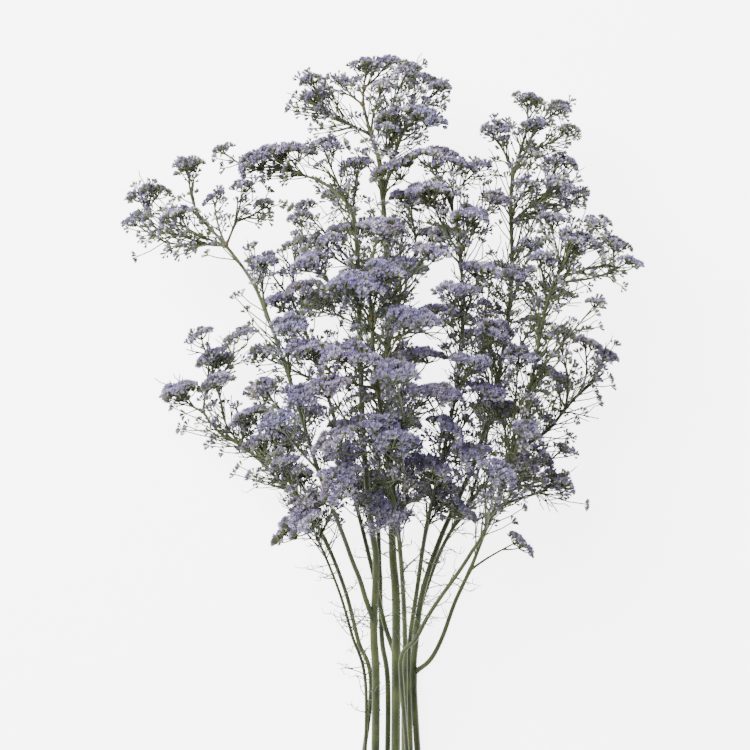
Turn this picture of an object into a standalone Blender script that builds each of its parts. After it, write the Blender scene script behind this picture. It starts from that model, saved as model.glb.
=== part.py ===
# Dried statice, a bunch of ten flowering stems lying on a table.
# Each stem grew as one piece, so each is one solid: stalk, branches, twigs and floret tufts.
# X is across the bunch, Y runs from the cut ends to the flowers, Z is up from the table.

import math

import bmesh
import bpy
import numpy as np
from mathutils import Matrix, Vector

# Scale of the photo and where its picture plane lies.
METRES_PER_PIXEL = 0.00078
PHOTO_MIDDLE = 375.0
PLANE_HEIGHT = 0.115
VIEW_DISTANCE = 1.6

# How wide a floret tuft is for its spray, in metres and shares of the spray's half width.
TUFT_SHARE = 0.55
TUFT_LEAST = 0.003
TUFT_MOST = 0.0210
BROAD_FROM = 0.0156
BROAD_SHARE = 0.60
TUFT_VARIES = 0.12

# The shape of a tuft, as shares of its radius or of its height.
FLORETS = 5
TUFT_HEIGHT = 0.85
TUFT_BASE = 0.36
CORE_RISE = 0.92
TIP_LOW = 0.22
TIP_VARIES = 0.14
VARIES_STEP = 3.1
VARIES_TURN = 9
ROOT_BELOW = 0.6
CORE_INSIDE = 0.3

# How the tufts of a spray stand: a drooping cap that leans outwards.
TUFTS_PER_SPRAY = 0.5
ROOM_SHARE = 1.12
SPRAY_DEPTH = 0.95
DROOP = 0.30
DROOP_VARIES = 0.002
LEAN_OUT = 0.55
LEAN_VARIES = 0.10
PAIR_SPREAD = 0.7
PAIR_TURN = 0.3
GOLDEN_ANGLE = math.pi * (3 - math.sqrt(5))

# Sprays face up the bunch and away from its heart (pixel across, pixel down, millimetres up).
HEART = (380, 520, 95)
SPRAY_UP = 0.75
SPRAY_OUT = 0.55
LOWEST_SPRAY = 8

# Twigs and branches.
TWIG_RADIUS = 0.0007
TWIG_SIDES = 3
TWIGS_FROM = 0.35
TWIGS_TO = 0.72
BRANCH_RADIUS = 0.0015
BRANCH_RADIUS_END = 0.0011
BRANCH_POINTS = 3
LEAVES_ALONG = 0.35
ARRIVES_ALONG = 0.40
ARM_SHARE = 0.8
ARM_MOST = 0.0022
ARM_END_SHARE = 0.85

# What makes a place on a stalk a poor one for a branch to leave, as metres added to its length.
STEEP_FROM = 0.72
STEEP_COST = 0.09
TOO_NEAR = 0.022
TOO_LEVEL = 0.012
POOR_PLACE_COST = 0.05

# Room kept between stems and over the table, and the heights in millimetres tried for a spray.
GAP = 0.0004
FLORET_REACH = 0.0034
FLOOR_GAP = 0.002
SHIFTS = (0, 8, -8, 16, -16, 24, -24, 34, -34)
CROSSING_COST = 0.2
SEED = 9

# Each stem: stalk (pixel across, pixel down, millimetres up), its two radii in millimetres,
# arms with the same, and sprays (across, down, up, half width in pixels, tufts).
STEMS = {
    "left_arching_stem": dict(
        stalk=[(362, 836, 9), (366, 690, 36), (352, 635, 54), (342, 600, 66), (331, 570, 80),
               (318, 540, 92), (302, 505, 98)],
        radii=(1.5, 0.9),
        arms=[],
        sprays=[(300, 512, 96, 30, 6), (283, 462, 112, 16, 3), (258, 440, 92, 18, 3),
                (334, 500, 120, 26, 2)],
    ),
    "left_low_stem": dict(
        stalk=[(352, 830, 6), (371, 690, 22), (358, 640, 24), (345, 590, 32), (325, 540, 44),
               (300, 500, 54), (280, 482, 58), (262, 462, 62), (240, 445, 65), (220, 433, 66),
               (203, 412, 66)],
        radii=(2.0, 1.0),
        arms=[],
        sprays=[(178, 390, 62, 26, 4), (216, 382, 78, 22, 4), (262, 386, 50, 24, 4),
                (308, 411, 44, 22, 4), (247, 414, 92, 24, 4), (213, 358, 50, 26, 5),
                (200, 335, 72, 14, 2), (238, 333, 30, 22, 4), (285, 440, 26, 20, 3),
                (282, 432, 72, 26, 2), (300, 478, 50, 26, 2)],
    ),
    "left_forked_stem": dict(
        stalk=[(374, 842, 20), (376, 690, 46), (374, 640, 56), (374, 620, 60), (376, 560, 78),
               (372, 530, 84), (364, 450, 108), (360, 350, 126), (358, 270, 132), (353, 215, 130),
               (336, 192, 124), (318, 180, 120)],
        radii=(3.6, 1.2),
        arms=[
            [(374, 622, 60), (366, 600, 70), (360, 580, 78), (352, 560, 88), (343, 535, 100),
             (318, 470, 134), (290, 380, 154), (265, 310, 150), (250, 278, 140), (226, 246, 128),
             (200, 218, 118), (185, 205, 112)],
            [(226, 246, 128), (205, 244, 112), (182, 236, 104), (160, 232, 100)],
            [(318, 180, 120), (300, 174, 118), (280, 167, 117)],
        ],
        sprays=[(278, 150, 118, 27, 6), (328, 144, 132, 18, 4), (357, 163, 100, 20, 4),
                (302, 206, 136, 19, 2), (332, 194, 98, 14, 2), (148, 192, 102, 22, 5),
                (138, 220, 88, 17, 3), (188, 164, 120, 20, 4), (222, 150, 106, 12, 2),
                (176, 212, 134, 18, 3), (212, 196, 92, 14, 2), (243, 184, 128, 18, 2),
                (264, 202, 108, 12, 2), (262, 260, 160, 22, 4), (290, 325, 180, 24, 4),
                (300, 395, 178, 26, 4), (262, 385, 150, 18, 3),
                (302, 286, 176, 28, 2), (326, 240, 166, 26, 2), (278, 422, 164, 26, 2)],
    ),
    "back_stem": dict(
        stalk=[(386, 834, 7), (388, 690, 22), (382, 640, 18), (380, 580, 18), (378, 500, 22),
               (380, 420, 26), (388, 340, 30), (398, 270, 34), (404, 220, 38)],
        radii=(2.4, 1.2),
        arms=[],
        sprays=[(368, 484, 26, 32, 5), (432, 482, 32, 28, 4),
                (405, 355, 24, 30, 4), (318, 300, 30, 28, 4),
                (444, 312, 28, 28, 4), (384, 262, 34, 30, 4), (442, 232, 44, 26, 4),
                (350, 226, 66, 24, 4), (408, 196, 62, 26, 4)],
    ),
    "middle_stem": dict(
        stalk=[(395, 846, 18), (396, 690, 36), (396, 600, 50), (393, 560, 60), (392, 530, 66),
               (390, 450, 88), (388, 350, 104), (387, 265, 110), (383, 200, 108), (379, 160, 107),
               (371, 135, 106), (363, 105, 104)],
        radii=(4.0, 1.2),
        arms=[
            [(396, 657, 41), (384, 622, 36), (370, 560, 38), (350, 480, 46), (332, 410, 56),
             (312, 350, 64), (292, 300, 72)],
            [(379, 160, 107), (393, 140, 116), (390, 112, 120)],
            [(383, 195, 108), (402, 135, 98), (428, 108, 94)],
            [(371, 135, 106), (345, 122, 106), (322, 110, 106)],
        ],
        sprays=[(316, 95, 102, 18, 4), (312, 78, 120, 13, 2), (343, 82, 90, 12, 2),
                (366, 65, 110, 15, 3), (388, 60, 92, 12, 3), (382, 84, 126, 12, 2),
                (408, 67, 120, 12, 3), (419, 78, 84, 14, 3), (440, 84, 104, 12, 3),
                (418, 111, 112, 26, 6), (387, 128, 132, 12, 2), (345, 425, 62, 26, 2),
                (318, 348, 62, 26, 2), (280, 300, 74, 26, 2), (264, 262, 86, 20, 2),
                (302, 240, 84, 22, 4), (262, 350, 84, 18, 3),
                (420, 350, 100, 24, 3), (410, 265, 116, 24, 4),
                (345, 290, 122, 28, 2), (400, 420, 120, 28, 2)],
    ),
    "front_stem": dict(
        stalk=[(405, 838, 33), (405, 690, 56), (405, 640, 74), (403, 590, 94), (398, 530, 118),
               (388, 460, 154), (378, 390, 180), (371, 320, 192), (370, 262, 188)],
        radii=(2.4, 1.2),
        arms=[],
        sprays=[(385, 508, 122, 34, 5), (338, 480, 146, 30, 5), (425, 462, 152, 32, 5),
                (372, 424, 200, 34, 6), (432, 392, 198, 30, 5),
                (350, 352, 222, 32, 5), (305, 345, 204, 24, 4), (412, 314, 214, 32, 5),
                (352, 284, 214, 30, 5), (310, 262, 184, 26, 4), (384, 226, 186, 32, 5),
                (432, 248, 188, 24, 4), (300, 215, 168, 16, 2), (396, 374, 234, 28, 2),
                (328, 386, 206, 28, 2), (402, 446, 184, 28, 2), (345, 456, 172, 28, 2),
                (386, 270, 226, 28, 2)],
    ),
    "right_front_stem": dict(
        stalk=[(414, 842, 9), (409, 690, 24), (410, 640, 34), (417, 590, 50), (426, 530, 78),
               (442, 460, 112), (456, 390, 138), (463, 320, 152), (460, 255, 148), (450, 200, 138),
               (440, 176, 134)],
        radii=(2.2, 1.1),
        arms=[],
        sprays=[(432, 156, 130, 34, 6), (430, 186, 152, 28, 5), (480, 166, 116, 13, 2),
                (496, 195, 136, 17, 3), (470, 214, 158, 24, 4), (482, 268, 168, 24, 4),
                (494, 328, 168, 24, 4), (488, 390, 158, 24, 4), (470, 450, 136, 28, 5),
                (455, 503, 98, 30, 5), (456, 290, 192, 28, 2), (470, 362, 186, 28, 2),
                (448, 424, 170, 28, 2)],
    ),
    "right_spike_stem": dict(
        stalk=[(424, 848, 26), (414, 690, 44), (416, 640, 48), (421, 600, 54), (429, 570, 58),
               (436, 550, 60), (446, 525, 64), (475, 460, 78), (498, 380, 92), (509, 310, 100),
               (512, 265, 102), (511, 215, 102), (511, 190, 101), (514, 172, 100), (520, 152, 98),
               (527, 130, 96)],
        radii=(2.8, 1.0),
        arms=[
            [(415, 672, 45), (430, 660, 58), (442, 638, 64), (455, 602, 72), (470, 570, 80),
             (480, 545, 86), (487, 528, 88), (500, 507, 92), (525, 497, 94), (548, 490, 94)],
            [(512, 222, 102), (535, 203, 104), (557, 194, 104)],
        ],
        sprays=[(530, 97, 92, 16, 4), (560, 107, 84, 12, 3), (536, 124, 112, 14, 3),
                (568, 130, 100, 12, 2), (497, 128, 104, 13, 3), (533, 152, 84, 14, 2),
                (562, 162, 104, 18, 4), (560, 184, 116, 20, 3), (581, 195, 96, 10, 2),
                (540, 206, 86, 10, 1), (528, 182, 116, 12, 2), (532, 244, 96, 14, 2),
                (520, 543, 96, 18, 3), (560, 480, 98, 16, 4), (528, 466, 110, 20, 4),
                (485, 305, 92, 22, 2), (535, 320, 84, 18, 2)],
    ),
    "right_arm_stem": dict(
        stalk=[(414, 828, 42), (402, 690, 72), (402, 655, 80), (415, 640, 86), (427, 618, 92),
               (440, 598, 98), (460, 570, 108), (471, 553, 112), (486, 528, 118), (512, 460, 136),
               (532, 380, 146), (545, 310, 146), (556, 283, 142), (580, 271, 136),
               (605, 266, 130), (620, 268, 126)],
        radii=(2.0, 1.0),
        arms=[[(547, 305, 145), (560, 268, 138), (574, 250, 134)]],
        sprays=[(553, 220, 124, 13, 3), (578, 238, 144, 20, 4), (597, 221, 116, 14, 3),
                (616, 243, 106, 15, 3), (632, 262, 130, 10, 3), (540, 254, 152, 12, 2),
                (596, 302, 140, 12, 2), (517, 273, 158, 14, 3), (556, 292, 118, 18, 3),
                (520, 356, 160, 22, 4), (545, 372, 130, 18, 2), (528, 428, 146, 20, 4),
                (502, 405, 166, 26, 2), (500, 472, 152, 26, 2)],
    ),
    "right_low_stem": dict(
        stalk=[(404, 832, 5), (404, 690, 12), (412, 640, 14), (426, 590, 22), (446, 540, 34),
               (480, 490, 52), (520, 450, 66), (548, 430, 74), (566, 408, 80), (580, 393, 84),
               (593, 382, 86), (604, 372, 86)],
        radii=(2.0, 1.0),
        arms=[[(470, 502, 46), (486, 440, 44), (492, 390, 40), (490, 350, 38)]],
        sprays=[(609, 355, 88, 11, 3), (590, 343, 98, 13, 3), (562, 333, 84, 16, 3),
                (563, 378, 70, 20, 4), (532, 402, 90, 14, 2), (520, 462, 64, 24, 4),
                (565, 446, 82, 12, 2), (560, 480, 58, 14, 2), (494, 405, 28, 28, 4),
                (480, 336, 34, 26, 4), (500, 268, 50, 22, 4), (540, 455, 70, 24, 2)],
    ),
}
TUBE_SIDES = {"stalk": 6, "arm": 4, "branch": 3}
FLOWER_COLOUR = (0.21, 0.19, 0.40)
FLOWER_ROUGHNESS = 0.85
# The sprays that the bunch lies on, each by one tuft.
RESTING = [("left_low_stem", 7), ("back_stem", 3), ("right_low_stem", 10), ("back_stem", 4)]


def place(across, down, up):
    """A pixel of the photo at a height in millimetres, as metres in the part's frame."""
    height = up / 1000
    scale = METRES_PER_PIXEL * (1 - (height - PLANE_HEIGHT) / VIEW_DISTANCE)
    return np.array([(across - PHOTO_MIDDLE) * scale, (PHOTO_MIDDLE - down) * scale, height])


def unit(vector):
    """The vector made one long."""
    return vector / np.linalg.norm(vector)


def segment_gap(p, q, starts, ends):
    """The distance from the segment p-q to each of many segments."""
    d1 = q - p
    d2 = ends - starts
    r = p - starts
    a = max(d1 @ d1, 1e-18)
    e = np.maximum((d2 * d2).sum(axis=1), 1e-18)
    b = d2 @ d1
    c = r @ d1
    f = (d2 * r).sum(axis=1)
    s = np.clip((b * f - c * e) / np.maximum(a * e - b * b, 1e-18), 0, 1)
    t = np.clip((b * s + f) / e, 0, 1)
    s = np.clip((b * t - c) / a, 0, 1)
    t = np.clip((b * s + f) / e, 0, 1)
    apart = p + s[:, None] * d1 - starts - t[:, None] * d2
    return np.sqrt((apart ** 2).sum(axis=1))


class Space:
    """What has been placed so far, as thick segments, each with its stem."""

    def __init__(self):
        self.starts = np.empty((0, 3))
        self.ends = np.empty((0, 3))
        self.radii = np.empty(0)
        self.owners = np.empty(0, int)
        self.crowns = np.empty(0, bool)

    def add(self, owner, segments, crown=False):
        self.starts = np.vstack([self.starts, [s[0] for s in segments]])
        self.ends = np.vstack([self.ends, [s[1] for s in segments]])
        self.radii = np.append(self.radii, [s[2] for s in segments])
        self.owners = np.append(self.owners, [owner] * len(segments))
        self.crowns = np.append(self.crowns, [crown] * len(segments))

    def hits(self, among, segments):
        """How many of the segments come near one of those placed, among the ones asked about."""
        count = 0
        for p, q, radius in segments:
            middle = (p + q) / 2
            reach = np.linalg.norm(q - p) / 2 + radius + GAP
            far = np.linalg.norm(self.ends - self.starts, axis=1) / 2 + self.radii + reach
            near = np.linalg.norm((self.starts + self.ends) / 2 - middle, axis=1) < far
            near &= among
            if near.any():
                gaps = segment_gap(p, q, self.starts[near], self.ends[near])
                count += bool((gaps < self.radii[near] + radius + GAP).any())
        return count

    def clear(self, owner, segments):
        """Whether none of the segments comes near another stem's."""
        return self.hits(self.owners != owner, segments) == 0


def crown_points(tuft):
    """The tuft's points in the part's frame: its base ring, its core's top, then its floret tips."""
    step = 2 * math.pi / FLORETS
    base_turn = np.arange(FLORETS) * step + tuft["turn"]
    tip_turn = base_turn + step / 2
    vary = np.sin(VARIES_STEP * np.arange(FLORETS) + VARIES_TURN * tuft["turn"])
    out = np.concatenate([np.full(FLORETS, TUFT_BASE), [0], 1 + TIP_VARIES * vary])
    turn = np.concatenate([base_turn, [0], tip_turn])
    up = np.concatenate([np.zeros(FLORETS), [CORE_RISE], 1 - TIP_LOW - TIP_VARIES * vary])
    flat = np.cos(turn)[:, None] * tuft["side"] + np.sin(turn)[:, None] * tuft["other"]
    rise = up[:, None] * TUFT_HEIGHT * tuft["axis"]
    return tuft["root"] + tuft["radius"] * (out[:, None] * flat + rise)


def crown_segments(tuft):
    """The room that a tuft takes, as thick segments out to its florets and up its middle."""
    points = crown_points(tuft)
    core = points[FLORETS]
    inside = (tuft["root"] + core) / 2
    reaches = [(inside, tip, FLORET_REACH) for tip in points[FLORETS + 1:]]
    return reaches + [(tuft["root"], core, FLORET_REACH)]


def lift(tuft, rests):
    """Sets a low tuft on the table, or keeps it just off the table."""
    lowest = crown_points(tuft)[:, 2].min()
    if rests:
        tuft["root"] = tuft["root"] - np.array([0, 0, lowest])
    elif lowest < FLOOR_GAP:
        tuft["root"] = tuft["root"] + np.array([0, 0, FLOOR_GAP - lowest])


def tufts_of(spray, random):
    """The tufts of one spray: a drooping cap, set out by the golden angle from its middle."""
    count = max(1, round(spray["count"] * TUFTS_PER_SPRAY))
    start = random.uniform(0, 2 * math.pi)
    room = ROOM_SHARE * spray["half"]
    tufts = []
    for i in range(count):
        out = math.sqrt(i / max(count - 1, 1)) if count > 2 else PAIR_SPREAD * (i - 0.5 * (count - 1))
        turn = start + i * GOLDEN_ANGLE if count > 2 else PAIR_TURN * start
        across = math.cos(turn) * out
        deep = math.sin(turn) * out * SPRAY_DEPTH
        radial = across * spray["side"] + deep * spray["other"]
        drop = DROOP * room * out ** 2 + random.uniform(-DROOP_VARIES, DROOP_VARIES)
        middle = spray["centre"] + room * radial - spray["axis"] * drop
        lean = unit(spray["axis"] + LEAN_OUT * radial + random.normal(0, LEAN_VARIES, 3))
        side = unit(np.cross(lean, [0.1, 0.2, 1.0]))
        radius = spray["tuft"] * (1 + random.uniform(-TUFT_VARIES, TUFT_VARIES))
        tuft = dict(axis=lean, side=side, other=np.cross(lean, side), turn=random.uniform(0, 1),
                    radius=radius)
        tuft["root"] = middle - ROOT_BELOW * TUFT_HEIGHT * radius * lean
        tufts.append(tuft)
    return tufts


def core_of(tuft):
    """A point well inside the tuft's core, where its twig ends."""
    return tuft["root"] + CORE_INSIDE * TUFT_HEIGHT * tuft["radius"] * tuft["axis"]


def leaving_point(end, lines):
    """The place on the stem's own lines that a branch to this end would leave from."""
    best = None
    for line in lines:
        ahead = np.gradient(line, axis=0)
        to_end = end - line
        far = np.linalg.norm(to_end, axis=1)
        straight = (ahead * to_end).sum(axis=1) / (np.linalg.norm(ahead, axis=1) * far + 1e-9)
        cost = far + STEEP_COST * np.clip(STEEP_FROM - straight, 0, None)
        cost[far < TOO_NEAR] += POOR_PLACE_COST
        cost[line[:, 1] > end[1] - TOO_LEVEL] += POOR_PLACE_COST
        at = int(cost.argmin())
        if best is None or cost[at] < best[0]:
            best = (cost[at], line[at], unit(ahead[at]))
    return best[1], best[2]


def branch_line(start, ahead, end, axis):
    """A branch that leaves along its stalk and arrives along the spray's axis."""
    length = np.linalg.norm(end - start)
    t = np.linspace(0, 1, BRANCH_POINTS)[:, None]
    leave = start + ahead * length * LEAVES_ALONG
    arrive = end - axis * length * ARRIVES_ALONG
    line = ((1 - t) ** 3 * start + 3 * (1 - t) ** 2 * t * leave + 3 * (1 - t) * t ** 2 * arrive
            + t ** 3 * end)
    line[1:, 2] = np.maximum(line[1:, 2], BRANCH_RADIUS + FLOOR_GAP)
    return line


def along(line, share):
    """The point at this share of a line's length."""
    legs = np.linalg.norm(np.diff(line, axis=0), axis=1)
    gone = np.concatenate([[0], np.cumsum(legs)])
    at = share * gone[-1]
    return np.array([np.interp(at, gone, line[:, i]) for i in range(3)])


def line_segments(line, radii):
    """The legs of a tapered line, each with the larger of its two radii."""
    return [(line[i], line[i + 1], float(max(radii[i], radii[i + 1]))) for i in range(len(line) - 1)]


def spray_from(numbers, shift):
    """A spray of the plan as its middle, its directions, and how wide its tufts are."""
    across, down, up, half, count = numbers
    centre = place(across, down, max(up + shift, LOWEST_SPRAY))
    outward = unit(centre - place(*HEART))
    axis = unit(np.array([0.0, 1.0, 0.0]) * SPRAY_UP + outward * SPRAY_OUT)
    side = unit(np.cross(axis, [0.0, 0.0, 1.0]))
    half = half * METRES_PER_PIXEL
    tuft = TUFT_SHARE * half + TUFT_LEAST + BROAD_SHARE * max(half - BROAD_FROM, 0)
    tuft = min(tuft, TUFT_MOST)
    return dict(centre=centre, axis=axis, side=side, other=np.cross(side, axis), half=half,
                tuft=tuft, count=count)


def stalks_of(plan):
    """A stem's own stalk and hand-drawn arms as tapered lines."""
    stalk = np.array([place(*p) for p in plan["stalk"]])
    first, last = (r / 1000 for r in plan["radii"])
    radii = np.linspace(first, last, len(stalk))
    tubes = [("stalk", stalk, radii)]
    for arm in plan["arms"]:
        line = np.array([place(*p) for p in arm])
        at = np.linalg.norm(stalk - line[0], axis=1).argmin()
        thick = min(radii[at] * ARM_SHARE, ARM_MOST)
        tubes.append(("arm", line, np.linspace(thick, last * ARM_END_SHARE, len(line))))
    return tubes


def spray_on(stem, owner, number, numbers, shift, rests, space):
    """One spray at a shift in height: its branch, and its tufts and twigs that have room."""
    random = np.random.default_rng([SEED, owner, number])
    spray = spray_from(numbers, shift)
    tufts = tufts_of(spray, random)
    lift(tufts[0], rests)
    end = core_of(tufts[0])
    start, ahead = leaving_point(end, stem["lines"])
    line = branch_line(start, ahead, end, tufts[0]["axis"])
    thick = np.linspace(BRANCH_RADIUS, BRANCH_RADIUS_END, len(line))
    first = crown_segments(tufts[0])
    bare = line_segments(line, thick)
    if not space.clear(owner, bare + first):
        return None
    own = space.owners == owner
    kept = [(tufts[0], None, first)]
    crossed = space.hits(own, first) + 2 * space.hits(own & space.crowns, bare)
    for i, tuft in enumerate(tufts[1:]):
        lift(tuft, False)
        share = TWIGS_TO - (TWIGS_TO - TWIGS_FROM) * i / max(len(tufts) - 2, 1)
        twig = (along(line, share), core_of(tuft), TWIG_RADIUS)
        pieces = crown_segments(tuft)
        if space.clear(owner, pieces + [twig]):
            kept.append((tuft, twig, pieces))
            crossed += space.hits(own, pieces) + 2 * space.hits(own & space.crowns, [twig])
    return len(kept) - CROSSING_COST * crossed, kept, line, thick, len(tufts)


def grow():
    """The whole bunch as plain numbers: for each stem its tubes, twigs and tufts."""
    space = Space()
    bunch = {}
    for owner, (name, plan) in enumerate(STEMS.items()):
        tubes = stalks_of(plan)
        for kind, line, radii in tubes:
            space.add(owner, line_segments(line, radii))
        bunch[name] = dict(tubes=tubes, twigs=[], tufts=[], lines=[t[1] for t in tubes])
    wanted = placed = 0
    for owner, (name, plan) in enumerate(STEMS.items()):
        stem = bunch[name]
        for number, numbers in enumerate(plan["sprays"]):
            rests = (name, number) in RESTING
            best = None
            for shift in SHIFTS:
                found = spray_on(stem, owner, number, numbers, shift, rests, space)
                if found and (best is None or found[0] > best[0]):
                    best = found
                if found and found[0] == found[4]:
                    break
            if best is None:
                print("no room:", name, number)
                continue
            score, kept, line, thick, count = best
            wanted += count
            placed += len(kept)
            stem["tubes"].append(("branch", line, thick))
            stem["lines"].append(line[:-1])
            space.add(owner, line_segments(line, thick))
            for tuft, twig, pieces in kept:
                stem["tufts"].append(tuft)
                space.add(owner, pieces, True)
                if twig:
                    stem["twigs"].append(twig)
                    space.add(owner, [twig])
    print("tufts wanted", wanted, "placed", placed)
    return bunch


# From the plan to Blender objects.
def mesh_object(name, bm):
    """An object from a bmesh, not yet in any collection."""
    mesh = bpy.data.meshes.new(name)
    bm.to_mesh(mesh)
    bm.free()
    return bpy.data.objects.new(name, mesh)


def tube(name, line, radii, sides, outline):
    """A tapered tube along a line, from a curve with filled ends."""
    curve = bpy.data.curves.new(name, "CURVE")
    curve.dimensions = "3D"
    if sides == 3:
        curve.bevel_mode = "OBJECT"
        curve.bevel_object = outline
    else:
        curve.bevel_depth = 1.0
        curve.bevel_resolution = (sides - 4) // 2
    curve.use_fill_caps = True
    spline = curve.splines.new("POLY")
    spline.points.add(len(line) - 1)
    for point, at, radius in zip(spline.points, line, radii):
        point.co = (*at, 1.0)
        point.radius = radius
    holder = bpy.data.objects.new(name, curve)
    bpy.context.scene.collection.objects.link(holder)
    graph = bpy.context.evaluated_depsgraph_get()
    mesh = bpy.data.meshes.new_from_object(holder.evaluated_get(graph))
    bpy.data.objects.remove(holder)
    bm = bmesh.new()
    bm.from_mesh(mesh)
    bpy.data.meshes.remove(mesh)
    bmesh.ops.remove_doubles(bm, verts=bm.verts, dist=1e-6)
    bmesh.ops.recalc_face_normals(bm, faces=bm.faces)
    return mesh_object(name, bm)


def triangle_outline():
    """A closed three-sided outline, one metre from middle to corner, that thin branches follow."""
    curve = bpy.data.curves.new("outline", "CURVE")
    curve.dimensions = "2D"
    spline = curve.splines.new("POLY")
    spline.points.add(2)
    for i, point in enumerate(spline.points):
        turn = 2 * math.pi * i / 3
        point.co = (math.cos(turn), math.sin(turn), 0, 1)
    spline.use_cyclic_u = True
    outline = bpy.data.objects.new("outline", curve)
    outline.hide_render = True
    outline.display_type = "WIRE"
    bpy.context.scene.collection.objects.link(outline)
    return outline


def twig_object(start, end, radius):
    """A thin cone from the spray's hub into the core of a tuft."""
    bm = bmesh.new()
    way = Vector(end - start)
    turned = way.to_track_quat("Z", "Y").to_matrix().to_4x4()
    middle = Matrix.Translation(Vector((start + end) / 2))
    bmesh.ops.create_cone(bm, cap_ends=True, segments=TWIG_SIDES, radius1=radius, radius2=radius,
                          depth=way.length, matrix=middle @ turned)
    return mesh_object("twig", bm)


def tuft_object(tuft):
    """A many-sided pyramid, each side drawn out into a floret that leans outwards."""
    bm = bmesh.new()
    bmesh.ops.create_cone(bm, cap_ends=True, segments=FLORETS, radius1=1, radius2=0, depth=2)
    bmesh.ops.remove_doubles(bm, verts=bm.verts, dist=1e-6)
    sides = [face for face in bm.faces if len(face.verts) == 3]
    bmesh.ops.poke(bm, faces=sides)
    points = crown_points(tuft)
    base_from, side_from = 0.9, 0.1
    for vertex in bm.verts:
        flat = math.hypot(vertex.co.x, vertex.co.y)
        turn = math.atan2(vertex.co.y, vertex.co.x) * FLORETS / (2 * math.pi)
        if flat > base_from:
            row = round(turn) % FLORETS
        elif flat > side_from:
            row = FLORETS + 1 + round(turn - 0.5) % FLORETS
        else:
            row = FLORETS
        vertex.co = points[row]
    bmesh.ops.recalc_face_normals(bm, faces=bm.faces)
    return mesh_object("tuft", bm)


def joined(base, others):
    """One solid from a stem's stalk and all that grows on it."""
    scene = bpy.context.scene.collection
    scene.objects.link(base)
    pieces = bpy.data.collections.new("pieces")
    scene.children.link(pieces)
    for other in others:
        pieces.objects.link(other)
    union = base.modifiers.new("join", "BOOLEAN")
    union.operation = "UNION"
    union.operand_type = "COLLECTION"
    union.collection = pieces
    union.solver = "EXACT"
    graph = bpy.context.evaluated_depsgraph_get()
    mesh = bpy.data.meshes.new_from_object(base.evaluated_get(graph))
    scene.objects.unlink(base)
    for other in others:
        bpy.data.objects.remove(other)
    bpy.data.collections.remove(pieces)
    bpy.data.objects.remove(base)
    keep_main_body(mesh)
    return mesh


def keep_main_body(mesh):
    """Drops what a union can leave besides its outer skin: sealed hollows and loose scraps."""
    bm = bmesh.new()
    bm.from_mesh(mesh)
    bm.faces.ensure_lookup_table()
    seen = set()
    islands = []
    for first in bm.faces:
        if first in seen:
            continue
        island = [first]
        seen.add(first)
        for face in island:
            for edge in face.edges:
                for other in edge.link_faces:
                    if other not in seen:
                        seen.add(other)
                        island.append(other)
        islands.append(island)
    islands.sort(key=len)
    for island in islands[:-1]:
        bmesh.ops.delete(bm, geom=island, context="FACES")
    if len(islands) > 1:
        print(mesh.name, "dropped", len(islands) - 1, "hollows or scraps")
    bm.to_mesh(mesh)
    bm.free()


def colour(name, rgb, roughness):
    """A plain material of one colour."""
    material = bpy.data.materials.new(name)
    material.use_nodes = True
    shader = material.node_tree.nodes["Principled BSDF"]
    shader.inputs["Base Color"].default_value = (*rgb, 1)
    shader.inputs["Roughness"].default_value = roughness
    shader.inputs["Metallic"].default_value = 0.0
    return material


def centre_on_table(meshes):
    """Moves everything so that the middle of its box is over the origin and its lowest point on z = 0."""
    corners = np.array([v.co[:] for mesh in meshes for v in mesh.vertices])
    low, high = corners.min(axis=0), corners.max(axis=0)
    shift = Vector((-(low[0] + high[0]) / 2, -(low[1] + high[1]) / 2, -low[2]))
    print("moved by", [round(value, 5) for value in shift])
    for mesh in meshes:
        mesh.transform(Matrix.Translation(shift))


def build():
    """Clears the scene, then makes one closed solid for each stem."""
    for old in list(bpy.data.objects):
        bpy.data.objects.remove(old)
    nodes = bpy.data.collections.new("dried_statice")
    bpy.context.scene.collection.children.link(nodes)
    outline = triangle_outline()
    meshes = []
    for name, stem in grow().items():
        pieces = [tube(kind, line, radii, TUBE_SIDES[kind], outline)
                  for kind, line, radii in stem["tubes"]]
        pieces += [twig_object(*twig) for twig in stem["twigs"]]
        pieces += [tuft_object(tuft) for tuft in stem["tufts"]]
        mesh = joined(pieces[0], pieces[1:])
        mesh.name = name
        mesh.materials.clear()
        mesh.materials.append(colour(name, FLOWER_COLOUR, FLOWER_ROUGHNESS))
        nodes.objects.link(bpy.data.objects.new(name, mesh))
        meshes.append(mesh)
        print(name, len(mesh.vertices), len(mesh.polygons))
    bpy.data.objects.remove(outline)
    centre_on_table(meshes)


build()
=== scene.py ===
# %% [markdown]
# Dried statice is a bunch of thin branching stalks that carry flat-topped sprays of tiny
# papery florets. This lesson dresses a plain solid model of one in fine detail: round stalks,
# thread-thin twigs, and thousands of small trumpet-shaped florets on them.
# The solid model comes first, as a frame that nothing here may move.

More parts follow.
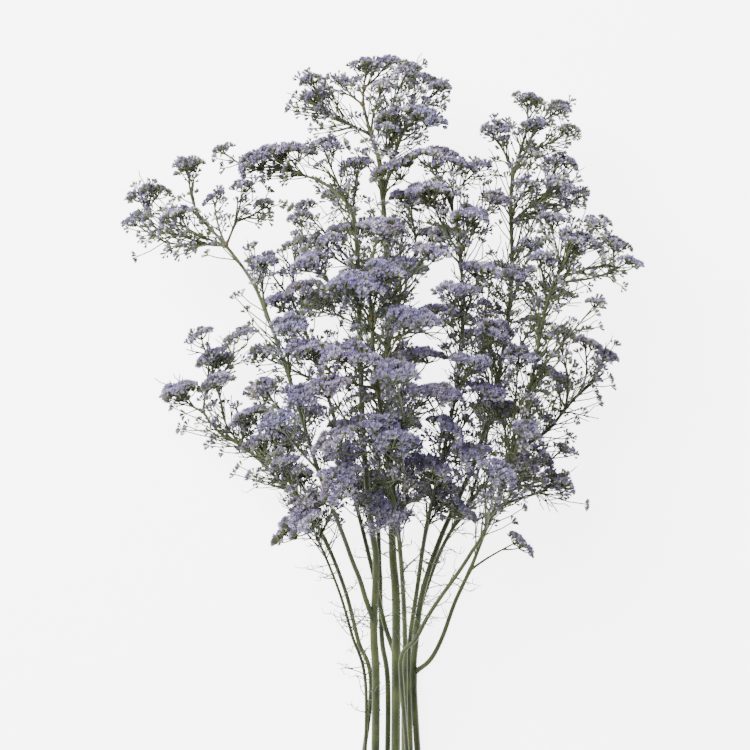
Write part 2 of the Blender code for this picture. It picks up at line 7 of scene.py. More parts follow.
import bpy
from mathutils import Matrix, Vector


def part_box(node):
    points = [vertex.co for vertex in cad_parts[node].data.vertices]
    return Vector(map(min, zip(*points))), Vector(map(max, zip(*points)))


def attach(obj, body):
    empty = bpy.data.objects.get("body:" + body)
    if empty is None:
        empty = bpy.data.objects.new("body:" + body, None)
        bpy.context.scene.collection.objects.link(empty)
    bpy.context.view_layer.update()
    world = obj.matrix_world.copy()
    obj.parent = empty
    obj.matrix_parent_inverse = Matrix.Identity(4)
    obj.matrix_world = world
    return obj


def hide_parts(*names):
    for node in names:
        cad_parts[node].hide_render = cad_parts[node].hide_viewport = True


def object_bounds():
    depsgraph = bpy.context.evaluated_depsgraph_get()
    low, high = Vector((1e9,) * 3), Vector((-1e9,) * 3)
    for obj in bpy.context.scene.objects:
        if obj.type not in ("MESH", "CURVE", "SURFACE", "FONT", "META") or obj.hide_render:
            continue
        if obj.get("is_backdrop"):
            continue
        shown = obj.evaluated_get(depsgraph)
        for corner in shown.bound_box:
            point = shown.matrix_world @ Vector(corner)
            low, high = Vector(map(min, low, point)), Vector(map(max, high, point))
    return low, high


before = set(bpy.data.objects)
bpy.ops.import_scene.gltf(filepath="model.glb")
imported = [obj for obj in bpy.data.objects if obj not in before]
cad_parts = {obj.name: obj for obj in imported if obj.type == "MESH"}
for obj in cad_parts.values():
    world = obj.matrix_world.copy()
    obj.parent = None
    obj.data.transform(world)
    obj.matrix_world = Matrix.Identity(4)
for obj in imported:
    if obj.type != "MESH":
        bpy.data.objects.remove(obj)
frame_low, frame_high = (list(corner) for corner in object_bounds())
print("nodes:", sorted(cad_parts))
print("box:", [round(v, 3) for v in frame_low], [round(v, 3) for v in frame_high])

# %% What the lesson uses
import math

import bpy
import numpy as np
from mathutils import Vector


# %% [markdown]
# The bunch is a plan first and a shape second. The plan says, for each flowering stem,
# where its stalk runs and where its sprays stand, in pixels of the photograph and a height
# above the table. The solids were grown from it too, so the fine model lies right on them.

# %% The plan in numbers
# Metres to a pixel of the photo, and where its picture plane lies.
PIXEL = 0.00078
PHOTO_MIDDLE = 375.0
PLANE_HEIGHT = 0.115
VIEW_DISTANCE = 1.6


def place(across, down, up):
    """A pixel of the photo at a height in millimetres, as metres in the part's frame."""
    height = up / 1000
    scale = PIXEL * (1 - (height - PLANE_HEIGHT) / VIEW_DISTANCE)
    return np.array([(across - PHOTO_MIDDLE) * scale, (PHOTO_MIDDLE - down) * scale, height])


# Each stem: its two radii in millimetres, its stalk (pixel across, pixel down, millimetres up),
# arms with the same if it has any, and sprays (across, down, up, half width in pixels, tufts).
STEMS = {}
STEMS["left_arching_stem"] = dict(radii=(1.5, 0.9), stalk=[
    (362, 836, 9), (366, 690, 36), (352, 635, 54), (342, 600, 66), (331, 570, 80), (318, 540, 92),
    (302, 505, 98)
], sprays=[
    (300, 512, 96, 30, 6), (283, 462, 112, 16, 3), (258, 440, 92, 18, 3), (334, 500, 120, 26, 2)
])
STEMS["left_low_stem"] = dict(radii=(2.0, 1.0), stalk=[
    (352, 830, 6), (371, 690, 22), (358, 640, 24), (345, 590, 32), (325, 540, 44), (300, 500, 54),
    (280, 482, 58), (262, 462, 62), (240, 445, 65), (220, 433, 66), (203, 412, 66)
], sprays=[
    (178, 390, 62, 26, 4), (216, 382, 78, 22, 4), (262, 386, 50, 24, 4), (308, 411, 44, 22, 4),
    (247, 414, 92, 24, 4), (213, 358, 50, 26, 5), (200, 335, 72, 14, 2), (238, 333, 30, 22, 4),
    (285, 440, 26, 20, 3), (282, 432, 72, 26, 2), (300, 478, 50, 26, 2)
])
STEMS["left_forked_stem"] = dict(radii=(3.6, 1.2), stalk=[
    (374, 842, 20), (376, 690, 46), (374, 640, 56), (374, 620, 60), (376, 560, 78), (372, 530, 84),
    (364, 450, 108), (360, 350, 126), (358, 270, 132), (353, 215, 130), (336, 192, 124), (318, 180, 120)
], arms=[
    [(374, 622, 60), (366, 600, 70), (360, 580, 78), (352, 560, 88), (343, 535, 100), (318, 470, 134),
     (290, 380, 154), (265, 310, 150), (250, 278, 140), (226, 246, 128), (200, 218, 118),
     (185, 205, 112)],
    [(226, 246, 128), (205, 244, 112), (182, 236, 104), (160, 232, 100)],
    [(318, 180, 120), (300, 174, 118), (280, 167, 117)],
], sprays=[
    (278, 150, 118, 27, 6), (328, 144, 132, 18, 4), (357, 163, 100, 20, 4), (302, 206, 136, 19, 2),
    (332, 194, 98, 14, 2), (148, 192, 102, 22, 5), (138, 220, 88, 17, 3), (188, 164, 120, 20, 4),
    (222, 150, 106, 12, 2), (176, 212, 134, 18, 3), (212, 196, 92, 14, 2), (243, 184, 128, 18, 2),
    (264, 202, 108, 12, 2), (262, 260, 160, 22, 4), (290, 325, 180, 24, 4), (300, 395, 178, 26, 4),
    (262, 385, 150, 18, 3), (302, 286, 176, 28, 2), (326, 240, 166, 26, 2), (278, 422, 164, 26, 2)
])
STEMS["back_stem"] = dict(radii=(2.4, 1.2), stalk=[
    (386, 834, 7), (388, 690, 22), (382, 640, 18), (380, 580, 18), (378, 500, 22), (380, 420, 26),
    (388, 340, 30), (398, 270, 34), (404, 220, 38)
], sprays=[
    (368, 484, 26, 32, 5), (432, 482, 32, 28, 4), (405, 355, 24, 30, 4), (318, 300, 30, 28, 4),
    (444, 312, 28, 28, 4), (384, 262, 34, 30, 4), (442, 232, 44, 26, 4), (350, 226, 66, 24, 4),
    (408, 196, 62, 26, 4)
])
STEMS["middle_stem"] = dict(radii=(4.0, 1.2), stalk=[
    (395, 846, 18), (396, 690, 36), (396, 600, 50), (393, 560, 60), (392, 530, 66), (390, 450, 88),
    (388, 350, 104), (387, 265, 110), (383, 200, 108), (379, 160, 107), (371, 135, 106), (363, 105, 104)
], arms=[
    [(396, 657, 41), (384, 622, 36), (370, 560, 38), (350, 480, 46), (332, 410, 56), (312, 350, 64),
     (292, 300, 72)],
    [(379, 160, 107), (393, 140, 116), (390, 112, 120)],
    [(383, 195, 108), (402, 135, 98), (428, 108, 94)],
    [(371, 135, 106), (345, 122, 106), (322, 110, 106)],
], sprays=[
    (316, 95, 102, 18, 4), (312, 78, 120, 13, 2), (343, 82, 90, 12, 2), (366, 65, 110, 15, 3),
    (388, 60, 92, 12, 3), (382, 84, 126, 12, 2), (408, 67, 120, 12, 3), (419, 78, 84, 14, 3),
    (440, 84, 104, 12, 3), (418, 111, 112, 26, 6), (387, 128, 132, 12, 2), (345, 425, 62, 26, 2),
    (318, 348, 62, 26, 2), (280, 300, 74, 26, 2), (264, 262, 86, 20, 2), (302, 240, 84, 22, 4),
    (262, 350, 84, 18, 3), (420, 350, 100, 24, 3), (410, 265, 116, 24, 4), (345, 290, 122, 28, 2),
    (400, 420, 120, 28, 2)
])
STEMS["front_stem"] = dict(radii=(2.4, 1.2), stalk=[
    (405, 838, 33), (405, 690, 56), (405, 640, 74), (403, 590, 94), (398, 530, 118), (388, 460, 154),
    (378, 390, 180), (371, 320, 192), (370, 262, 188)
], sprays=[
    (385, 508, 122, 34, 5), (338, 480, 146, 30, 5), (425, 462, 152, 32, 5), (372, 424, 200, 34, 6),
    (432, 392, 198, 30, 5), (350, 352, 222, 32, 5), (305, 345, 204, 24, 4), (412, 314, 214, 32, 5),
    (352, 284, 214, 30, 5), (310, 262, 184, 26, 4), (384, 226, 186, 32, 5), (432, 248, 188, 24, 4),
    (300, 215, 168, 16, 2), (396, 374, 234, 28, 2), (328, 386, 206, 28, 2), (402, 446, 184, 28, 2),
    (345, 456, 172, 28, 2), (386, 270, 226, 28, 2)
])
STEMS["right_front_stem"] = dict(radii=(2.2, 1.1), stalk=[
    (414, 842, 9), (409, 690, 24), (410, 640, 34), (417, 590, 50), (426, 530, 78), (442, 460, 112),
    (456, 390, 138), (463, 320, 152), (460, 255, 148), (450, 200, 138), (440, 176, 134)
], sprays=[
    (432, 156, 130, 34, 6), (430, 186, 152, 28, 5), (480, 166, 116, 13, 2), (496, 195, 136, 17, 3),
    (470, 214, 158, 24, 4), (482, 268, 168, 24, 4), (494, 328, 168, 24, 4), (488, 390, 158, 24, 4),
    (470, 450, 136, 28, 5), (455, 503, 98, 30, 5), (456, 290, 192, 28, 2), (470, 362, 186, 28, 2),
    (448, 424, 170, 28, 2)
])
STEMS["right_spike_stem"] = dict(radii=(2.8, 1.0), stalk=[
    (424, 848, 26), (414, 690, 44), (416, 640, 48), (421, 600, 54), (429, 570, 58), (436, 550, 60),
    (446, 525, 64), (475, 460, 78), (498, 380, 92), (509, 310, 100), (512, 265, 102), (511, 215, 102),
    (511, 190, 101), (514, 172, 100), (520, 152, 98), (527, 130, 96)
], arms=[
    [(415, 672, 45), (430, 660, 58), (442, 638, 64), (455, 602, 72), (470, 570, 80), (480, 545, 86),
     (487, 528, 88), (500, 507, 92), (525, 497, 94), (548, 490, 94)],
    [(512, 222, 102), (535, 203, 104), (557, 194, 104)],
], sprays=[
    (530, 97, 92, 16, 4), (560, 107, 84, 12, 3), (536, 124, 112, 14, 3), (568, 130, 100, 12, 2),
    (497, 128, 104, 13, 3), (533, 152, 84, 14, 2), (562, 162, 104, 18, 4), (560, 184, 116, 20, 3),
    (581, 195, 96, 10, 2), (540, 206, 86, 10, 1), (528, 182, 116, 12, 2), (532, 244, 96, 14, 2),
    (520, 543, 96, 18, 3), (560, 480, 98, 16, 4), (528, 466, 110, 20, 4), (485, 305, 92, 22, 2),
    (535, 320, 84, 18, 2)
])
STEMS["right_arm_stem"] = dict(radii=(2.0, 1.0), stalk=[
    (414, 828, 42), (402, 690, 72), (402, 655, 80), (415, 640, 86), (427, 618, 92), (440, 598, 98),
    (460, 570, 108), (471, 553, 112), (486, 528, 118), (512, 460, 136), (532, 380, 146),
    (545, 310, 146), (556, 283, 142), (580, 271, 136), (605, 266, 130), (620, 268, 126)
], arms=[
    [(547, 305, 145), (560, 268, 138), (574, 250, 134)],
], sprays=[
    (553, 220, 124, 13, 3), (578, 238, 144, 20, 4), (597, 221, 116, 14, 3), (616, 243, 106, 15, 3),
    (632, 262, 130, 10, 3), (540, 254, 152, 12, 2), (596, 302, 140, 12, 2), (517, 273, 158, 14, 3),
    (556, 292, 118, 18, 3), (520, 356, 160, 22, 4), (545, 372, 130, 18, 2), (528, 428, 146, 20, 4),
    (502, 405, 166, 26, 2), (500, 472, 152, 26, 2)
])
STEMS["right_low_stem"] = dict(radii=(2.0, 1.0), stalk=[
    (404, 832, 5), (404, 690, 12), (412, 640, 14), (426, 590, 22), (446, 540, 34), (480, 490, 52),
    (520, 450, 66), (548, 430, 74), (566, 408, 80), (580, 393, 84), (593, 382, 86), (604, 372, 86)
], arms=[
    [(470, 502, 46), (486, 440, 44), (492, 390, 40), (490, 350, 38)],
], sprays=[
    (609, 355, 88, 11, 3), (590, 343, 98, 13, 3), (562, 333, 84, 16, 3), (563, 378, 70, 20, 4),
    (532, 402, 90, 14, 2), (520, 462, 64, 24, 4), (565, 446, 82, 12, 2), (560, 480, 58, 14, 2),
    (494, 405, 28, 28, 4), (480, 336, 34, 26, 4), (500, 268, 50, 22, 4), (540, 455, 70, 24, 2)
])
# The sprays that the bunch lies on, each by one tuft.
RESTING = [("left_low_stem", 7), ("back_stem", 3), ("right_low_stem", 10), ("back_stem", 4)]
print("stems planned:", len(STEMS), "sprays:", sum(len(plan["sprays"]) for plan in STEMS.values()))

# %% [markdown]
# From the plan the bunch is grown by rule. Its florets grow in tufts. A tuft is a core with
# five floret tips round it, some a little further out and lower than others. A twig ends in
# its core, and the lowest tufts are set on the table.

# %% One tuft
# Its shape in shares of its radius, and the room round a floret and over the table in metres.
FLORETS = 5
TUFT_HEIGHT = 0.85
TUFT_BASE = 0.36
CORE_RISE = 0.92
TIP_LOW = 0.22
TIP_VARIES = 0.14
VARIES_STEP = 3.1
VARIES_TURN = 9
CORE_INSIDE = 0.3
FLORET_REACH = 0.0034
FLOOR_GAP = 0.002


def crown_points(tuft):
    """A tuft's points: its base ring, its core's top, then its floret tips."""
    step = 2 * math.pi / FLORETS
    base_turn = np.arange(FLORETS) * step + tuft["turn"]
    tip_turn = base_turn + step / 2
    vary = np.sin(VARIES_STEP * np.arange(FLORETS) + VARIES_TURN * tuft["turn"])
    out = np.concatenate([np.full(FLORETS, TUFT_BASE), [0], 1 + TIP_VARIES * vary])
    turn = np.concatenate([base_turn, [0], tip_turn])
    up = np.concatenate([np.zeros(FLORETS), [CORE_RISE], 1 - TIP_LOW - TIP_VARIES * vary])
    flat = np.cos(turn)[:, None] * tuft["side"] + np.sin(turn)[:, None] * tuft["other"]
    rise = up[:, None] * TUFT_HEIGHT * tuft["axis"]
    return tuft["root"] + tuft["radius"] * (out[:, None] * flat + rise)


def crown_segments(tuft):
    """A tuft's room, as thick segments out to its florets and up its middle."""
    points = crown_points(tuft)
    core = points[FLORETS]
    inside = (tuft["root"] + core) / 2
    reaches = [(inside, tip, FLORET_REACH) for tip in points[FLORETS + 1:]]
    return reaches + [(tuft["root"], core, FLORET_REACH)]


def core_of(tuft):
    """A point well inside the tuft's core, where its twig ends."""
    return tuft["root"] + CORE_INSIDE * TUFT_HEIGHT * tuft["radius"] * tuft["axis"]


def lift(tuft, rests):
    """Sets a low tuft on the table, or keeps it just off the table."""
    lowest = crown_points(tuft)[:, 2].min()
    if rests or lowest < FLOOR_GAP:
        tuft["root"] = tuft["root"] + [0, 0, (0 if rests else FLOOR_GAP) - lowest]


print("points of a tuft:", 2 * FLORETS + 1)

# %% [markdown]
# Each spray is a drooping cap of tufts set out by the golden angle, the way florets really
# pack. It faces up the bunch and away from its heart, and a broad spray has broader tufts.

# %% The tufts of a spray
# How wide a tuft is: metres, and shares of the spray's half width.
TUFT_SHARE = 0.55
TUFT_LEAST = 0.003
TUFT_MOST = 0.021
BROAD_FROM = 0.0156
BROAD_SHARE = 0.6
TUFT_VARIES = 0.12
# How its tufts stand: a cap that droops and leans outwards.
TUFTS_PER_SPRAY = 0.5
ROOM_SHARE = 1.12
SPRAY_DEPTH = 0.95
DROOP = 0.3
DROOP_VARIES = 0.002
LEAN_OUT = 0.55
LEAN_VARIES = 0.1
SIDE_HELPER = (0.1, 0.2, 1.0)
PAIR_SPREAD = 0.7
PAIR_TURN = 0.3
ROOT_BELOW = 0.6
GOLDEN_ANGLE = math.pi * (3 - math.sqrt(5))
# The heart of the bunch, in pixels and millimetres up, and how sprays face away from it.
HEART = (380, 520, 95)
SPRAY_UP = 0.75
SPRAY_OUT = 0.55
LOWEST_SPRAY = 8


def unit(vector):
    """The vector made one long."""
    return vector / np.linalg.norm(vector)


def spray_from(numbers, shift):
    """A spray of the plan: its middle, its directions, and how wide its tufts are."""
    across, down, up, half, count = numbers
    centre = place(across, down, max(up + shift, LOWEST_SPRAY))
    outward = unit(centre - place(*HEART))
    axis = unit(np.array([0.0, 1.0, 0.0]) * SPRAY_UP + outward * SPRAY_OUT)
    side = unit(np.cross(axis, [0.0, 0.0, 1.0]))
    half = half * PIXEL
    tuft = TUFT_SHARE * half + TUFT_LEAST + BROAD_SHARE * max(half - BROAD_FROM, 0)
    tuft = min(tuft, TUFT_MOST)
    return dict(centre=centre, axis=axis, side=side, other=np.cross(side, axis), half=half,
                tuft=tuft, count=count)


def tufts_of(spray, rng):
    """A spray's tufts: a drooping cap, set out by the golden angle from its middle."""
    count = max(1, round(spray["count"] * TUFTS_PER_SPRAY))
    start = rng.uniform(0, 2 * math.pi)
    room = ROOM_SHARE * spray["half"]
    tufts = []
    for i in range(count):
        out = math.sqrt(i / max(count - 1, 1)) if count > 2 else PAIR_SPREAD * (i - 0.5 * (count - 1))
        turn = start + i * GOLDEN_ANGLE if count > 2 else PAIR_TURN * start
        across = math.cos(turn) * out
        deep = math.sin(turn) * out * SPRAY_DEPTH
        radial = across * spray["side"] + deep * spray["other"]
        drop = DROOP * room * out ** 2 + rng.uniform(-DROOP_VARIES, DROOP_VARIES)
        middle = spray["centre"] + room * radial - spray["axis"] * drop
        lean = unit(spray["axis"] + LEAN_OUT * radial + rng.normal(0, LEAN_VARIES, 3))
        side = unit(np.cross(lean, SIDE_HELPER))
        radius = spray["tuft"] * (1 + rng.uniform(-TUFT_VARIES, TUFT_VARIES))
        turn = rng.uniform(0, 1)
        tuft = dict(axis=lean, side=side, other=np.cross(lean, side), turn=turn, radius=radius)
        tuft["root"] = middle - ROOT_BELOW * TUFT_HEIGHT * radius * lean
        tufts.append(tuft)
    return tufts


print("golden angle in degrees:", round(math.degrees(GOLDEN_ANGLE), 1))

# %% [markdown]
# A branch leaves the nearest stalk, where that isn't steep, and curves up to its spray. What
# makes a place on a stalk a poor one to leave from is counted as metres added to its length.

# %% Stalks and branches as lines
BRANCH_RADII = (0.0015, 0.0011)
BRANCH_POINTS = 3
LEAVES_ALONG = 0.35
ARRIVES_ALONG = 0.4
ARM_SHARE = 0.8
ARM_MOST = 0.0022
ARM_END_SHARE = 0.85
STEEP_FROM = 0.72
STEEP_COST = 0.09
TOO_NEAR = 0.022
TOO_LEVEL = 0.012
POOR_PLACE_COST = 0.05


def stalks_of(plan):
    """A stem's own stalk and arms as tapered lines."""
    stalk = np.array([place(*p) for p in plan["stalk"]])
    first, last = (r / 1000 for r in plan["radii"])
    radii = np.linspace(first, last, len(stalk))
    tubes = [("stalk", stalk, radii)]
    for arm in plan.get("arms", []):
        line = np.array([place(*p) for p in arm])
        at = np.linalg.norm(stalk - line[0], axis=1).argmin()
        thick = min(radii[at] * ARM_SHARE, ARM_MOST)
        tubes.append(("arm", line, np.linspace(thick, last * ARM_END_SHARE, len(line))))
    return tubes


def leaving_point(end, lines):
    """The place on the stem's lines that a branch to this end leaves from."""
    best = None
    for line in lines:
        ahead = np.gradient(line, axis=0)
        to_end = end - line
        far = np.linalg.norm(to_end, axis=1)
        straight = (ahead * to_end).sum(axis=1) / (np.linalg.norm(ahead, axis=1) * far + 1e-9)
        cost = far + STEEP_COST * np.clip(STEEP_FROM - straight, 0, None)
        cost[far < TOO_NEAR] += POOR_PLACE_COST
        cost[line[:, 1] > end[1] - TOO_LEVEL] += POOR_PLACE_COST
        at = int(cost.argmin())
        if best is None or cost[at] < best[0]:
            best = (cost[at], line[at], unit(ahead[at]))
    return best[1], best[2]


def cubic(t, a, b, c, d):
    """A cubic line from a to d that sets out towards b and comes in from c."""
    return (1 - t) ** 3 * a + 3 * (1 - t) ** 2 * t * b + 3 * (1 - t) * t ** 2 * c + t ** 3 * d


def branch_line(start, ahead, end, axis):
    """A branch that leaves along its stalk and arrives along the spray's axis."""
    length = np.linalg.norm(end - start)
    t = np.linspace(0, 1, BRANCH_POINTS)[:, None]
    line = cubic(t, start, start + ahead * length * LEAVES_ALONG,
                 end - axis * length * ARRIVES_ALONG, end)
    line[1:, 2] = np.maximum(line[1:, 2], BRANCH_RADII[0] + FLOOR_GAP)
    return line


def along(line, share):
    """The point at this share of a line's length."""
    legs = np.linalg.norm(np.diff(line, axis=0), axis=1)
    gone = np.concatenate([[0], np.cumsum(legs)])
    at = share * gone[-1]
    return np.array([np.interp(at, gone, line[:, i]) for i in range(3)])


def legs_of(line, radii):
    """The legs of a tapered line, each with the larger of its two radii."""
    return [(p, q, max(r, s)) for p, q, r, s in zip(line, line[1:], radii, radii[1:])]


print("radii of a branch in mm:", *(1000 * radius for radius in BRANCH_RADII))

# %% [markdown]
# Two stems can't run through each other. All that has grown is kept as thick segments, and
# the distance between two segments tells whether there is room for one more.

# %% Room between the stems
GAP = 0.0004


def segment_gap(p, q, starts, ends):
    """The distance from the segment p-q to each of many segments."""
    d1 = q - p
    d2 = ends - starts
    r = p - starts
    a = max(d1 @ d1, 1e-18)
    e = np.maximum((d2 * d2).sum(axis=1), 1e-18)
    b = d2 @ d1
    c = r @ d1
    f = (d2 * r).sum(axis=1)
    s = np.clip((b * f - c * e) / np.maximum(a * e - b * b, 1e-18), 0, 1)
    t = np.clip((b * s + f) / e, 0, 1)
    s = np.clip((b * t - c) / a, 0, 1)
    t = np.clip((b * s + f) / e, 0, 1)
    apart = p + s[:, None] * d1 - starts - t[:, None] * d2
    return np.sqrt((apart ** 2).sum(axis=1))


class Space:
    """What has been placed so far, as thick segments, each with its stem."""

    def __init__(self):
        self.rows = np.empty((0, 9))

    def add(self, owner, segments, crown=False):
        """Adds rows of start, end, radius, stem and whether it is part of a tuft."""
        rows = [[*start, *end, radius, owner, crown] for start, end, radius in segments]
        self.rows = np.vstack([self.rows, rows])
        self.starts, self.ends, self.radii = self.rows[:, :3], self.rows[:, 3:6], self.rows[:, 6]
        self.owners, self.crowns = self.rows[:, 7], self.rows[:, 8] > 0

    def hits(self, among, segments):
        """How many segments come near one of those placed, among the ones asked about."""
        count = 0
        for p, q, radius in segments:
            middle = (p + q) / 2
            reach = np.linalg.norm(q - p) / 2 + radius + GAP
            far = np.linalg.norm(self.ends - self.starts, axis=1) / 2 + self.radii + reach
            near = np.linalg.norm((self.starts + self.ends) / 2 - middle, axis=1) < far
            near &= among
            if near.any():
                gaps = segment_gap(p, q, self.starts[near], self.ends[near])
                count += bool((gaps < self.radii[near] + radius + GAP).any())
        return count

    def clear(self, owner, segments):
        """Whether none of the segments comes near another stem's."""
        return self.hits(self.owners != owner, segments) == 0


print("room kept between stems in mm:", 1000 * GAP)

# %% [markdown]
# Now the bunch grows, spray by spray. A spray that would grow into another stem's is shifted
# nearer to or further from the table, by the number of millimetres that leaves most room.

# %% Grow the bunch
TWIG_RADIUS = 0.0007
TWIGS_FROM = 0.35
TWIGS_TO = 0.72
SHIFTS = (0, 8, -8, 16, -16, 24, -24, 34, -34)
CROSSING_COST = 0.2
THROUGH_TUFT = 2
SEED = 9


def spray_on(stem, owner, number, numbers, shift, rests, space):
    """A spray at a shift in height: its branch, and the tufts and twigs that have room."""
    rng = np.random.default_rng([SEED, owner, number])
    spray = spray_from(numbers, shift)
    tufts = tufts_of(spray, rng)
    lift(tufts[0], rests)
    end = core_of(tufts[0])
    start, ahead = leaving_point(end, stem["lines"])
    line = branch_line(start, ahead, end, tufts[0]["axis"])
    thick = np.linspace(*BRANCH_RADII, len(line))
    first = crown_segments(tufts[0])
    bare = legs_of(line, thick)
    if not space.clear(owner, bare + first):
        return None
    own = space.owners == owner
    kept = [(tufts[0], None, first)]
    crossed = space.hits(own, first) + THROUGH_TUFT * space.hits(own & space.crowns, bare)
    for i, tuft in enumerate(tufts[1:]):
        lift(tuft, False)
        share = TWIGS_TO - (TWIGS_TO - TWIGS_FROM) * i / max(len(tufts) - 2, 1)
        twig = (along(line, share), core_of(tuft), TWIG_RADIUS)
        pieces = crown_segments(tuft)
        if space.clear(owner, pieces + [twig]):
            kept.append((tuft, twig, pieces))
            crossed += (space.hits(own, pieces)
                        + THROUGH_TUFT * space.hits(own & space.crowns, [twig]))
    return len(kept) - CROSSING_COST * crossed, kept, line, thick, len(tufts)


def grow():
    """The whole bunch as plain numbers: for each stem its tubes, twigs and tufts."""
    space = Space()
    bunch = {}
    for owner, (name, plan) in enumerate(STEMS.items()):
        tubes = stalks_of(plan)
        for kind, line, radii in tubes:
            space.add(owner, legs_of(line, radii))
        bunch[name] = dict(tubes=tubes, twigs=[], tufts=[], lines=[t[1] for t in tubes])
    for owner, (name, plan) in enumerate(STEMS.items()):
        stem = bunch[name]
        for number, numbers in enumerate(plan["sprays"]):
            rests = (name, number) in RESTING
            best = None
            for shift in SHIFTS:
                found = spray_on(stem, owner, number, numbers, shift, rests, space)
                if found and (best is None or found[0] > best[0]):
                    best = found
                if found and found[0] == found[4]:
                    break
            _, kept, line, thick, _ = best
            stem["tubes"].append(("branch", line, thick))
            stem["lines"].append(line[:-1])
            space.add(owner, legs_of(line, thick))
            for tuft, twig, pieces in kept:
                stem["tufts"].append(tuft)
                space.add(owner, pieces, True)
                if twig:
                    stem["twigs"].append((*twig, tuft["axis"]))
                    space.add(owner, [twig])
    return bunch


bunch = grow()
print("tufts:", {name: len(stem["tufts"]) for name, stem in bunch.items()})

# %% [markdown]
# The solids were moved so that the middle of their box is over the origin. The plan's tufts
# reach furthest right and furthest up, so their tips against the frame's box give that move.

# %% The move onto the frame
def tufts_points(stem):
    """The points of all the tufts of one stem."""
    return np.vstack([crown_points(tuft) for tuft in stem["tufts"]])


tips = np.vstack([tufts_points(stem) for stem in bunch.values()])
SHIFT = np.array([frame_high[0] - tips[:, 0].max(), frame_high[1] - tips[:, 1].max(), 0.0])
print("shift onto the frame in mm:", np.round(SHIFT * 1000, 2))
misses = {name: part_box(name)[1][1] - (tufts_points(stem) + SHIFT)[:, 1].max()
          for name, stem in bunch.items()}
print("solid above tufts in mm:", {name: round(1000 * miss, 2) for name, miss in misses.items()})

# %% [markdown]
# Everything thin here is a tube: a ring of points carried along a line. Rather than thousands
# of curve objects, all tubes of one kind are worked out together as one array: tubes by rings
# by corners. Each ring needs two directions square to the line, and a fixed helper direction
# gives them, because no line here turns far.

# %% Tubes as arrays
UPRIGHT = 0.85
HELPER, HELPER_FOR_UPRIGHT = np.array([0.1, 0.0, 1.0]), np.array([1.0, 0.1, 0.0])


def units(vectors):
    """Each vector of an array made one long."""
    return vectors / np.maximum(np.linalg.norm(vectors, axis=-1, keepdims=True), 1e-9)


def across_of(ahead):
    """Two unit directions square to each one given: its cross product with a helper, and again."""
    helper = np.where(np.abs(ahead[..., 2:3]) > UPRIGHT, HELPER_FOR_UPRIGHT, HELPER)
    side = units(np.cross(ahead, helper))
    return side, np.cross(ahead, side)


def copies(points, one, tint, share):
    """Many like shapes at once: their points, the triangles of one counted on, and their looks."""
    faces = one[None] + (np.arange(len(points)) * points.shape[1])[:, None, None]
    looks = np.stack(np.broadcast_arrays(np.asarray(tint)[:, None], share), -1)
    return points.reshape(-1, 3), faces.reshape(-1, 3), looks.reshape(-1, 2)


def tubes(lines, radii, sides, tint):
    """Closed tubes round many lines at once.

    lines is tubes x rings x 3 and radii tubes x rings. A point is the line's point plus the
    radius times cos(turn) of one direction across and sin(turn) of the other. A point in the
    middle closes each end. Returns points, triangles, and a tint and share of length a point.
    """
    count, rings, _ = lines.shape
    side, other = across_of(units(np.gradient(lines, axis=1)))
    turn = np.arange(sides) * 2 * math.pi / sides
    across = (np.cos(turn)[:, None] * side[:, :, None, :]
              + np.sin(turn)[:, None] * other[:, :, None, :])
    skin = lines[:, :, None, :] + radii[:, :, None, None] * across
    points = np.concatenate([skin.reshape(count, -1, 3), lines[:, :1], lines[:, -1:]], axis=1)
    corner = np.arange(sides)
    after = (corner + 1) % sides
    ring = np.arange(rings - 1)[:, None] * sides
    a, b = ring + corner, ring + after
    walls = np.stack([np.stack([a, b, b + sides], -1), np.stack([a, b + sides, a + sides], -1)])
    first, last, end_ring = rings * sides, rings * sides + 1, (rings - 1) * sides
    near = np.stack([np.full(sides, first), after, corner], -1)
    far = np.stack([np.full(sides, last), corner + end_ring, after + end_ring], -1)
    share = np.concatenate([np.repeat(np.linspace(0, 1, rings), sides), [0, 1]])
    return copies(points, np.vstack([walls.reshape(-1, 3), near, far]), tint, share)


def gathered(parts):
    """Several (points, triangles, looks) made one, the triangles counted on from those before."""
    points, faces, looks = zip(*parts)
    starts = np.cumsum([0] + [len(each) for each in points[:-1]])
    faces = [each + start for each, start in zip(faces, starts)]
    return np.vstack(points), np.vstack(faces), np.vstack(looks)


def added(name, data):
    """A new object with this data, put into the scene."""
    piece = bpy.data.objects.new(name, data)
    bpy.context.scene.collection.objects.link(piece)
    return piece


def mesh_piece(name, parts, smooth_shaded=True):
    """One object from (points, triangles, looks), its looks kept as a UV map: tint and share."""
    points, faces, looks = gathered(parts)
    mesh = bpy.data.meshes.new(name)
    mesh.vertices.add(len(points))
    mesh.vertices.foreach_set("co", (points + SHIFT).astype(np.float32).ravel())
    mesh.loops.add(faces.size)
    mesh.loops.foreach_set("vertex_index", faces.astype(np.int32).ravel())
    mesh.polygons.add(len(faces))
    mesh.polygons.foreach_set("loop_start", np.arange(0, faces.size, 3, dtype=np.int32))
    mesh.polygons.foreach_set("use_smooth", np.full(len(faces), smooth_shaded))
    mesh.uv_layers.new(name="look")
    mesh.uv_layers["look"].data.foreach_set("uv", looks[faces.ravel()].astype(np.float32).ravel())
    mesh.update(calc_edges=True)
    return added(name, mesh)


print("across a line along y:", *across_of(np.array([0.0, 1.0, 0.0])))

# %% [markdown]
# A stalk on the plant is never a straight rod. It bends gently, thins towards its tip and
# swells a little at each joint where a branch leaves. The planned points are joined by a
# smooth cubic line, sampled finely, and the radius gets a small bump wherever a branch starts.

